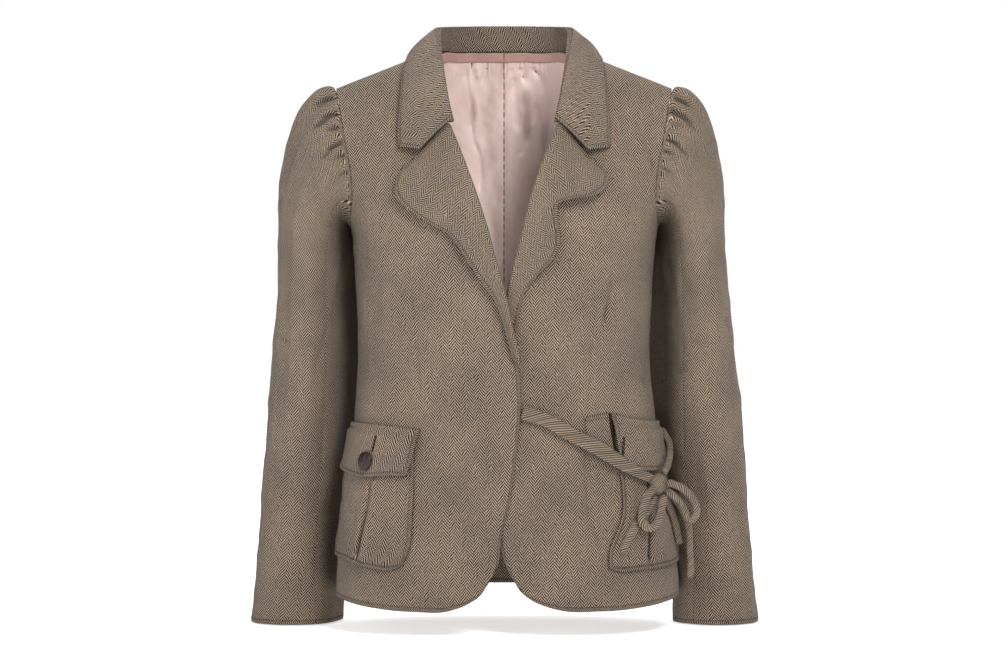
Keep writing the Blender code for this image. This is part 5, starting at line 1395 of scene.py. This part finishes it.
def strap(name, rows, tree):
    """Folded strap of tweed along a route: an oval section with a lengthwise crease, turned to the front.

    Each ring is the route's point plus the oval's cosine and sine along two directions square to it.
    """
    rows = reach(rows, tree)
    count = 20 + int(np.linalg.norm(np.diff(rows, axis=0), axis=1).sum() / 0.0016)
    centre, length = resampled(rows, count)
    forward = unit(np.gradient(centre, axis=0))
    facing = np.array(FACING_SIDE if centre[:, 0].mean() > SIDE_FROM else FACING_FRONT)
    across = unit(np.cross(forward, facing))
    for _ in range(6):
        across[1:-1] = unit(across[:-2] + across[1:-1] + across[2:])
        across = unit(across - forward * (across * forward).sum(-1, keepdims=True))
    up = np.cross(across, forward)
    turn = np.linspace(0, 2 * np.pi, STRAP_TURNS + 1)[:-1]
    walked = np.linspace(0, length, count)[:, None]
    wide = 0.60 * sizes().tie * (1 + 0.05 * np.sin(walked * 260 + 9 * rows[0, 2]))
    deep = 0.415 * sizes().tie * (1 + 0.06 * np.sin(walked * 190 + 2))
    crease = 1 - 0.07 * np.exp(-((turn - 1.2 - 0.25 * np.sin(walked * 120)) / 0.22) ** 2)
    crease = crease - 0.06 * np.exp(-((turn - 4.4) / 0.3) ** 2)
    ends = np.sqrt(np.clip(np.minimum(walked, length - walked) / 0.0016, 0, 1) * 0.75 + 0.25)
    rings = centre[:, None] + across[:, None] * (np.cos(turn) * wide * crease * ends)[..., None]
    rings = rings + up[:, None] * (np.sin(turn) * deep * crease * ends)[..., None]
    round_about = np.linspace(0, 0.021, STRAP_TURNS + 1)[None] + 0 * walked
    lean = np.radians(45)
    down = walked + 0 * round_about
    weave = one_line(1.6 * (round_about * np.sin(lean) + down * np.cos(lean)))
    hem = np.stack([np.full_like(down, FAR), down], -1)
    made = tube(name, centre, rings, {"weave": weave, "hem": hem, "depth": depth_map(0 * down, TIE_FELT)})
    return made


def tweed_piece(node, outer, inner, pinch=PINCH, **maps):
    """A shell of tweed in place of one of the model's solids, with its maps by name."""
    made = wall("cloth_" + node, outer, inner, maps, pinch=pinch)
    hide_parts(node)
    return made


def make_front(side):
    """A front panel from its opening edge to the side seam, with darts and folds along its normals."""
    outer, inner, relief = front_grid(side)
    weave = weave_map(outer * np.array([side, 1, 1]), plumb=True)
    # the depth map carries the narrow creases, which the tweed darkens as painted shade
    made = tweed_piece("front_" + SIDES[side], outer, inner, weave=weave,
                       hem=hem_map(outer, "left", "low"), depth=depth_map(CREASE_SHADE * relief))


def make_back():
    """The back panel between the side seams, with a centre seam, darts and folds."""
    outer, inner, relief = back_grid()
    # the depth map carries the narrow creases, which the tweed darkens as painted shade
    made = tweed_piece("back", outer, inner, weave=weave_map(outer, plumb=True), hem=hem_map(outer, "low"),
                       depth=depth_map(CREASE_SHADE * relief))


def make_sleeve(side):
    """The two lengthways parts of a sleeve: a gathered head on the armhole, then flattened rings."""
    seam = 180 * SEAM_SHARE
    parts = (("top", -seam, seam, 0.26, 0.62, 0.132), ("under", seam, 360 - seam, 0.12, 0.48, 0.049))
    for part, low, high, width, length, area in parts:
        outer, inner, relief, weave = sleeve_grid(side, low + SEAM_TURN, high - SEAM_TURN)
        # the depth map carries the tucks and narrow creases, which the tweed darkens as painted shade
        made = tweed_piece("sleeve_" + SIDES[side] + "_" + part, outer, inner, weave=weave,
                           hem=hem_map(outer, "high"), depth=depth_map(relief))


def make_lapel(side):
    """A lapel: half a turn round the opening edge, then the leaf over the front with its soft folds."""
    middle = lapel_grid(side)
    made = tweed_piece("lapel_" + SIDES[side], *thick(middle), weave=weave_map(middle, turn=np.radians(62)),
                       hem=hem_map(middle, "right", "low", "high"),
                       depth=depth_map(0 * middle[..., 0], LAPEL_FELT))


def make_collar():
    """The collar: a stand on the neck seam, a half-round fold and the leaf that falls outside it."""
    middle = collar_grid()
    made = tweed_piece("collar", *thick(middle), weave=weave_map(middle, turn=np.radians(90)),
                       hem=hem_map(middle, "right", "low", "high"))


def make_pocket(side):
    """A patch pocket with a soft belly and an upright pleat, on the front's own points."""
    outer, inner, depth = pocket_grid(side)
    made = tweed_piece("pocket_" + SIDES[side], outer, inner, weave=weave_map(outer, plumb=True),
                       hem=hem_map(outer, "left", "right", "low", "high"), depth=depth)


def settle(grid, x, z):
    """Depth of a gridded surface at x, z, from its four nearest points weighted by closeness."""
    flat = grid.reshape(-1, 3)
    away = (flat[:, 0] - x[..., None]) ** 2 + (flat[:, 2] - z[..., None]) ** 2
    nearest = np.argsort(away, -1)[..., :4]
    weight = 1 / (np.take_along_axis(away, nearest, -1) + 1e-9)
    return (flat[nearest, 1] * weight).sum(-1) / weight.sum(-1)


def loop_round(name, grid, line, half, thread, paint):
    """Worked loop of thread: a ring of circles along a stadium on a cloth's surface.

    The stadium is two straights and two half circles at a distance half from the line, x z to x z.
    """
    (x0, z0), (x1, z1) = line
    run = np.array([x1 - x0, z1 - z0])
    length = np.hypot(*run)
    run = run / length
    side = np.array([-run[1], run[0]])
    walk = np.linspace(0, 1, LOOP_STEPS, endpoint=False) * (2 * length + 2 * np.pi * half)
    halfway = length + np.pi * half
    sign = np.where(walk < halfway, 1, -1)
    walk = walk % halfway
    bend = np.clip((walk - length) / half, 0, np.pi)
    forth = sign * (np.minimum(walk, length) - length / 2 + half * np.sin(bend))
    sideways = sign * half * np.cos(bend)
    x = (x0 + x1) / 2 + run[0] * forth + side[0] * sideways
    z = (z0 + z1) / 2 + run[1] * forth + side[1] * sideways
    y = settle(grid, x, z)
    for _ in range(12):
        y = (np.roll(y, 1) + y + np.roll(y, -1)) / 3
    path = np.stack([x, y, z], -1)
    forward = unit(np.roll(path, -1, 0) - np.roll(path, 1, 0))
    nearest = np.argmin(((grid.reshape(-1, 3)[None] - path[:, None]) ** 2).sum(-1), 1)
    up = grid_normals(grid).reshape(-1, 3)[nearest]
    up = up * -np.sign(up[:, 1:2])
    across = np.cross(forward, up)
    section = np.linspace(0, 2 * np.pi, LOOP_TURNS, endpoint=False)
    twist = 1 + 0.03 * np.sin(np.arange(LOOP_STEPS) * 2 * np.pi * 32 / LOOP_STEPS)[:, None]
    rings = across[:, None] * np.cos(section)[:, None] + up[:, None] * np.sin(section)[:, None]
    rings = path[:, None] + rings * (thread * twist)[..., None] + up[:, None] * thread
    index = np.arange(LOOP_STEPS * LOOP_TURNS).reshape(LOOP_STEPS, LOOP_TURNS)
    index = np.concatenate([index, index[:1]], 0)
    index = np.concatenate([index, index[:, :1]], 1)
    points = rings.reshape(-1, 3)
    faces = facing_out(points - points.mean(0), quads(index))
    made = put(name, points, faces.tolist(), faces.ravel(), {}, paint)
    return made


def flap_tab():
    """The flat part of the left flap towards the opening, and a dark strip of painted shadow beside the flap.
    """
    made = []
    for name, paint, lower, upper, deep in FLAP_STRIPS:
        ends = (lower[0], upper[0]), (lower[1], upper[1]), lower, upper
        edges = [table_edge([(0, *start), (1, *end)]) for start, end in ends]
        hem_ridge = 0.0008 if paint == "fine_tweed" else 0

        def outer(u, v):
            return STRIP_LIFT + deep + hem_ridge * np.exp(-((v - 0.93) / 0.05) ** 2)

        def inner(u, v):
            return np.full_like(u, STRIP_LIFT)

        grids = on_front(1, edges, 18, 44, outer, inner)
        maps = {"weave": weave_map(grids[0], plumb=True), "hem": hem_map(grids[0], "high")}
        made.append(wall(name, *grids, maps, paint))
    return made


def make_flap(side):
    """A pocket flap that stands off the front, with its worked buttonhole."""
    label = SIDES[side]
    outer, inner = flap_grid(side)
    made = tweed_piece("flap_" + label, outer, inner, weave=weave_map(outer, plumb=True),
                       hem=hem_map(outer, "left", "right", "low"))
    # the tweed tab and the dark strip of painted shadow beside the left flap
    strips = flap_tab() if side > 0 else []
    start, finish, half = BUTTONHOLES[side]
    loop_round("buttonhole_" + label, outer, (start, finish), half, 0.00045, "fine_thread")


def make_button():
    """Domed button like a leather knot: rings of its outline over a full turn, with plaited ridges."""
    angle = np.radians(BUTTON_AT[0])
    z = np.array(BUTTON_AT[1])
    out = outward(angle, z)
    middle = body(angle, z) + out * BUTTON_AT[2]
    across = unit(np.cross(np.array([0, 0, 1.0]), out))
    up = np.cross(out, across)
    row = np.arange(len(BUTTON_OUTLINE))
    at = np.linspace(0, row[-1], BUTTON_RINGS)
    size = np.interp(at, row, BUTTON_OUTLINE[:, 0])[:, None]
    rise = np.interp(at, row, BUTTON_OUTLINE[:, 1])[:, None]
    turn = np.linspace(0, 2 * np.pi, BUTTON_TURNS + 1)[:-1][None]
    point = 1 - 0.12 * np.cos(turn) ** 2 * (0.6 - 0.4 * np.sin(turn))
    a = size * point * np.cos(turn) * sizes().button / 2
    b = size * point * np.sin(turn) * sizes().button / 2
    plait = 0.00035 * np.abs(np.sin((a * 0.9 + b * 0.5) / 0.0032 * np.pi))
    plait = plait + 0.0004 * np.exp(-((a - 0.4 * b) / 0.0022) ** 2)
    plait = plait - 0.0006 * np.exp(-((a + 0.0026 + 0.2 * b) / 0.0006) ** 2)
    plait = plait - 0.0005 * np.exp(-((a - 0.0042) / 0.0006) ** 2)
    top = np.linspace(0, 1, BUTTON_RINGS)[:, None]
    level = rise + plait * np.clip((top - 0.3) * 3, 0, 1)
    rings = middle + across * a[..., None] + up * b[..., None] + out * level[..., None]
    centre = np.stack([middle, middle + out * 0.0058])
    flat = {"weave": np.zeros((BUTTON_RINGS, BUTTON_TURNS + 1, 2))}
    made = tube("horn_button", centre, rings, flat, "fine_horn", 40)
    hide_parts("button")


def make_band():
    """The flat part of the tie across the under front: a soft strip gathered towards the knot."""
    t = np.linspace(0, 1, 110)
    rows = through(TIE_BAND[:, 0], TIE_BAND[:, 1:], t)
    slope = np.gradient(rows[:, 1]) / np.gradient(rows[:, 0])
    half = 0.00725 * (1 - 0.35 * soft(t, 0.7, 1.0)) * (1 + 0.03 * np.sin(23 * t))
    columns = []
    for share in np.linspace(-1, 1, 22):
        x = rows[:, 0] - slope * half * share / np.sqrt(1 + slope ** 2)
        z = rows[:, 1] + half * share / np.sqrt(1 + slope ** 2)
        fold = 0.0009 * np.exp(-((share - 0.35 + 0.5 * t) / 0.16) ** 2) * soft(t, 0.15, 0.5)
        fold = fold + 0.0007 * np.exp(-((share + 0.55 - 0.3 * t) / 0.14) ** 2) * soft(t, 0.4, 0.8)
        round_off = BAND_THICK / 2 * (1 - np.sqrt(1 - (share * 0.96) ** 2))
        over = rows[:, 2] + BAND_THICK - round_off - fold
        angle = angle_at(x, z)
        columns.append((lifted(angle, z, over), lifted(angle, z, rows[:, 2] + round_off)))
    outer, inner = np.array(columns).transpose(1, 2, 0, 3) - np.array([0, SEAM / 2, 0])
    flat = weave_map(outer)
    slant = flat[..., 0] * 0.84 - flat[..., 1] * 0.54
    made = tweed_piece("tie_band", outer, inner, pinch=0.2, weave=one_line(1.5 * slant), hem=hem_map(outer),
                       depth=depth_map(0 * slant, TIE_FELT))


def make_knot():
    """The knot: a lumpy spheroid with two straps' turns raised across it and creases between them."""
    centre = on_left([KNOT_AT])[0]
    rows = np.linspace(0.05, np.pi - 0.05, KNOT_RINGS)[:, None]
    turn = np.linspace(0, 2 * np.pi, KNOT_TURNS + 1)[:-1][None]
    swell = 1 + 0.10 * np.cos(2 * turn + 0.8) * np.sin(rows) ** 2
    across = rows + 0.30 * np.sin(turn + 0.6)
    for place, middle, width, deep in ((rows, 1.75, 0.25, 0.10), (across, 1.08, 0.09, 0.10),
                                       (across, 2.20, 0.10, 0.09)):
        swell = swell - deep * np.exp(-((place - middle) / width) ** 2)
    swell = swell + 0.03 * np.cos(across * 17 + 2 * np.sin(turn)) * np.sin(rows)
    x = 0.0120 * np.sin(rows) * np.cos(turn) * swell
    y = 0.0075 * np.sin(rows) * np.sin(turn) * swell
    z = 0.0115 * np.cos(rows) + 0 * turn
    lean = np.radians(58)
    turned = x * np.cos(lean) - y * np.sin(lean), x * np.sin(lean) + y * np.cos(lean)
    rings = np.stack([*turned, z], -1) + centre
    caps = centre + np.array([[0, 0, 0.01155], [0, 0, -0.01155]])
    round_about = np.linspace(0, 0.066, KNOT_TURNS + 1)[None] + 0 * rows
    down = np.linspace(0, 0.032, KNOT_RINGS)[:, None] + 0 * round_about
    weave = one_line(round_about + 1.6 * down)
    maps = {"weave": weave, "hem": np.full(weave.shape, FAR), "depth": depth_map(0 * down, TIE_FELT)}
    made = tube("cloth_tie_knot", caps, rings, maps, sharp=70)
    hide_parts("tie_knot")


def make_straps():
    """The tie's loops and tails, along the same routes as the solids that they stand for."""
    cad_knot = bpy.data.objects["tie_knot"]
    tree = BVHTree.FromPolygons([corner.co for corner in cad_knot.data.vertices],
                                [tuple(face.vertices) for face in cad_knot.data.polygons])
    for node, rows, far_end in STRAPS:
        points = on_left(rows) if node not in ("tie_loop_outer", "tie_tail_outer") else np.array(rows)
        made = strap("cloth_" + node, points, tree)
        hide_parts(node)


def make_lining():
    """Satin back lining with its neck band, centre seam and creases."""
    outer, inner, place, depth = lining_grid()
    made = wall("satin_back", outer, inner, {"place": place, "depth": depth}, "fine_satin")
    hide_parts("lining_back")


def area_light(name, size, power, place, target, colour):
    """A rectangular light turned to a target."""
    light = bpy.data.lights.new(name, "AREA")
    light.shape = "RECTANGLE"
    light.size, light.size_y = size
    light.energy = power
    light.color = colour
    made = bpy.data.objects.new(name, light)
    made.location = place
    made.rotation_euler = (Vector(target) - Vector(place)).to_track_quat("-Z", "Y").to_euler()
    bpy.context.collection.objects.link(made)


def make_stage():
    """White paper just under the cuffs, a white room, soft lights and the camera."""
    lowest = CAD_BOX[0][2] - 0.0010
    line = np.linspace(-PAPER_REACH, PAPER_REACH, PAPER_LINES)
    x, y = np.meshgrid(line, line)
    grid = np.stack([x, y, np.full_like(x, lowest)], -1)
    faces = quads(np.arange(PAPER_LINES ** 2).reshape(PAPER_LINES, PAPER_LINES))
    mesh = bpy.data.meshes.new("paper")
    mesh.from_pydata(grid.reshape(-1, 3).tolist(), [], faces.tolist())
    mesh.update()
    mesh.materials.append(material("studio_paper"))
    mesh.polygons.foreach_set("use_smooth", np.ones(len(faces), dtype=bool))
    paper = bpy.data.objects.new("paper", mesh)
    bpy.context.collection.objects.link(paper)
    world = bpy.data.worlds.new("studio")
    world.use_nodes = True
    tree = world.node_tree
    light = tree.nodes["Background"]
    light.inputs["Color"].default_value = (1, 1, 1, 1)
    light.inputs["Strength"].default_value = ROOM_LIGHT
    seen = tree.nodes.new("ShaderNodeBackground")
    both = tree.nodes.new("ShaderNodeMixShader")
    tree.links.new(tree.nodes.new("ShaderNodeLightPath").outputs["Is Camera Ray"], both.inputs[0])
    tree.links.new(light.outputs[0], both.inputs[1])
    tree.links.new(seen.outputs[0], both.inputs[2])
    seen.inputs["Color"].default_value = (1, 1, 1, 1)
    tree.links.new(both.outputs[0], tree.nodes["World Output"].inputs["Surface"])
    bpy.context.scene.world = world
    for name, size, power, place, colour in LIGHTS:
        area_light(name, size, power, place, JACKET_MIDDLE, colour)
    camera = bpy.data.cameras.new("camera")
    camera.sensor_width = 36
    camera.lens = CAMERA_LENS
    made = bpy.data.objects.new("camera", camera)
    made.location = CAMERA_AT
    made.rotation_euler = (np.pi / 2, 0, 0)
    bpy.context.collection.objects.link(made)
    bpy.context.scene.camera = made
    bpy.context.scene.view_settings.view_transform = "Standard"


class JacketSizes(bpy.types.PropertyGroup):
    """Sizes of the jacket's cloth and trimmings."""

    cloth: FloatProperty(name="Cloth", description="Thickness of the tweed", default=0.0020, unit="LENGTH")
    lining: FloatProperty(name="Lining", description="Thickness of the satin", default=0.0010, unit="LENGTH")
    stripe: FloatProperty(name="Stripe", description="Width of a herringbone stripe", default=0.0066,
                          unit="LENGTH")
    yarn: FloatProperty(name="Yarn pitch", description="Height between two yarn lines", default=0.0034,
                        unit="LENGTH")
    lean: FloatProperty(name="Lean", description="Yarn lines crossed by a stripe", default=2.4)
    button: FloatProperty(name="Button", description="Diameter of the button", default=0.0205, unit="LENGTH")
    tie: FloatProperty(name="Tie", description="Width of the tie's straps", default=0.0072, unit="LENGTH")
    grid: FloatProperty(name="Grid", description="Spacing of the cloth's points", default=0.0028,
                        unit="LENGTH")
    folds: FloatProperty(name="Folds", description="Strength of the folds", default=1.5, subtype="FACTOR")


class JacketColours(bpy.types.PropertyGroup):
    """Colours of the jacket's yarns, satin and button."""

    light_yarn: FloatVectorProperty(name="Light yarn", description="Pale yarn", default=(0.350, 0.277, 0.210),
                                    size=3, subtype="COLOR")
    dark_yarn: FloatVectorProperty(name="Dark yarn", description="Brown yarn", default=(0.016, 0.011, 0.008),
                                   size=3, subtype="COLOR")
    fleck: FloatVectorProperty(name="Fleck", description="Cream flecks", default=(0.66, 0.58, 0.47),
                               size=3, subtype="COLOR")
    satin: FloatVectorProperty(name="Satin", description="Lining", default=(0.95, 0.765, 0.715),
                               size=3, subtype="COLOR")
    # the satin's darker tone, also the base of the painted shade in its hollows
    satin_shade: FloatVectorProperty(name="Satin shade", description="Lining in its hollows",
                                     default=(0.86, 0.64, 0.585), size=3, subtype="COLOR")
    neck_band: FloatVectorProperty(name="Neck band", description="Lining's strip at the neck",
                                   default=(0.46, 0.255, 0.215), size=3, subtype="COLOR")
    button: FloatVectorProperty(name="Button", description="Plum brown", default=(0.024, 0.0105, 0.0100),
                                size=3, subtype="COLOR")
    floor: FloatVectorProperty(name="Paper", description="Studio paper", default=(0.93, 0.93, 0.93),
                               size=3, subtype="COLOR")


class JacketBody(bpy.types.Operator):
    """Make both fronts and the back"""

    bl_idname = "jacket.body"
    bl_label = "Fronts and back"

    def execute(self, context):
        make_front(-1)
        make_front(1)
        make_back()
        return {"FINISHED"}


class JacketSleeves(bpy.types.Operator):
    """Make the top and under parts of both sleeves"""

    bl_idname = "jacket.sleeves"
    bl_label = "Sleeves"

    def execute(self, context):
        make_sleeve(-1)
        make_sleeve(1)
        return {"FINISHED"}


class JacketCollar(bpy.types.Operator):
    """Make both lapels and the collar"""

    bl_idname = "jacket.collar"
    bl_label = "Lapels and collar"

    def execute(self, context):
        make_lapel(-1)
        make_lapel(1)
        make_collar()
        return {"FINISHED"}


class JacketPockets(bpy.types.Operator):
    """Make both pockets, their flaps and the buttonholes"""

    bl_idname = "jacket.pockets"
    bl_label = "Pockets and flaps"

    def execute(self, context):
        for side in (-1, 1):
            make_pocket(side)
            make_flap(side)
        return {"FINISHED"}


class JacketButton(bpy.types.Operator):
    """Make the button on the wearer's right flap"""

    bl_idname = "jacket.button"
    bl_label = "Button"

    def execute(self, context):
        make_button()
        return {"FINISHED"}


class JacketTie(bpy.types.Operator):
    """Make the tie: loops and tails, knot and flat band"""

    bl_idname = "jacket.tie"
    bl_label = "Tie"

    def execute(self, context):
        make_straps()
        make_knot()
        make_band()
        return {"FINISHED"}


class JacketLining(bpy.types.Operator):
    """Make the satin back lining"""

    bl_idname = "jacket.lining"
    bl_label = "Lining"

    def execute(self, context):
        make_lining()
        return {"FINISHED"}


class JacketStage(bpy.types.Operator):
    """Make the paper, lights and camera"""

    bl_idname = "jacket.stage"
    bl_label = "Stage"

    def execute(self, context):
        make_stage()
        return {"FINISHED"}


OPERATORS = (JacketStage, JacketTie, JacketBody, JacketSleeves, JacketCollar, JacketPockets, JacketButton,
             JacketLining)


class JacketPanel(bpy.types.Panel):
    """List the jacket's sizes, colours and pieces."""

    bl_idname = "VIEW3D_PT_jacket"
    bl_label = "Tie-waist jacket"
    bl_space_type = "VIEW_3D"
    bl_region_type = "UI"
    bl_category = "Jacket"

    def draw(self, context):
        for group in (sizes(), colours()):
            for key in group.__annotations__:
                self.layout.prop(group, key)
        for operator in OPERATORS:
            self.layout.operator(operator.bl_idname)


CLASSES = (JacketSizes, JacketColours) + OPERATORS + (JacketPanel,)


def register():
    """Register the classes, and put the settings on the scene."""
    for entry in CLASSES:
        bpy.utils.register_class(entry)
    bpy.types.Scene.jacket_sizes = PointerProperty(type=JacketSizes)
    bpy.types.Scene.jacket_colours = PointerProperty(type=JacketColours)


def unregister():
    """Undo what register did."""
    del bpy.types.Scene.jacket_colours
    del bpy.types.Scene.jacket_sizes
    for entry in reversed(CLASSES):
        bpy.utils.unregister_class(entry)


def main():
    register()
    bpy.ops.jacket.stage()
    bpy.ops.jacket.tie()
    bpy.ops.jacket.body()
    bpy.ops.jacket.sleeves()
    bpy.ops.jacket.collar()
    bpy.ops.jacket.pockets()
    bpy.ops.jacket.button()
    bpy.ops.jacket.lining()


if __name__ == "__main__":
    main()
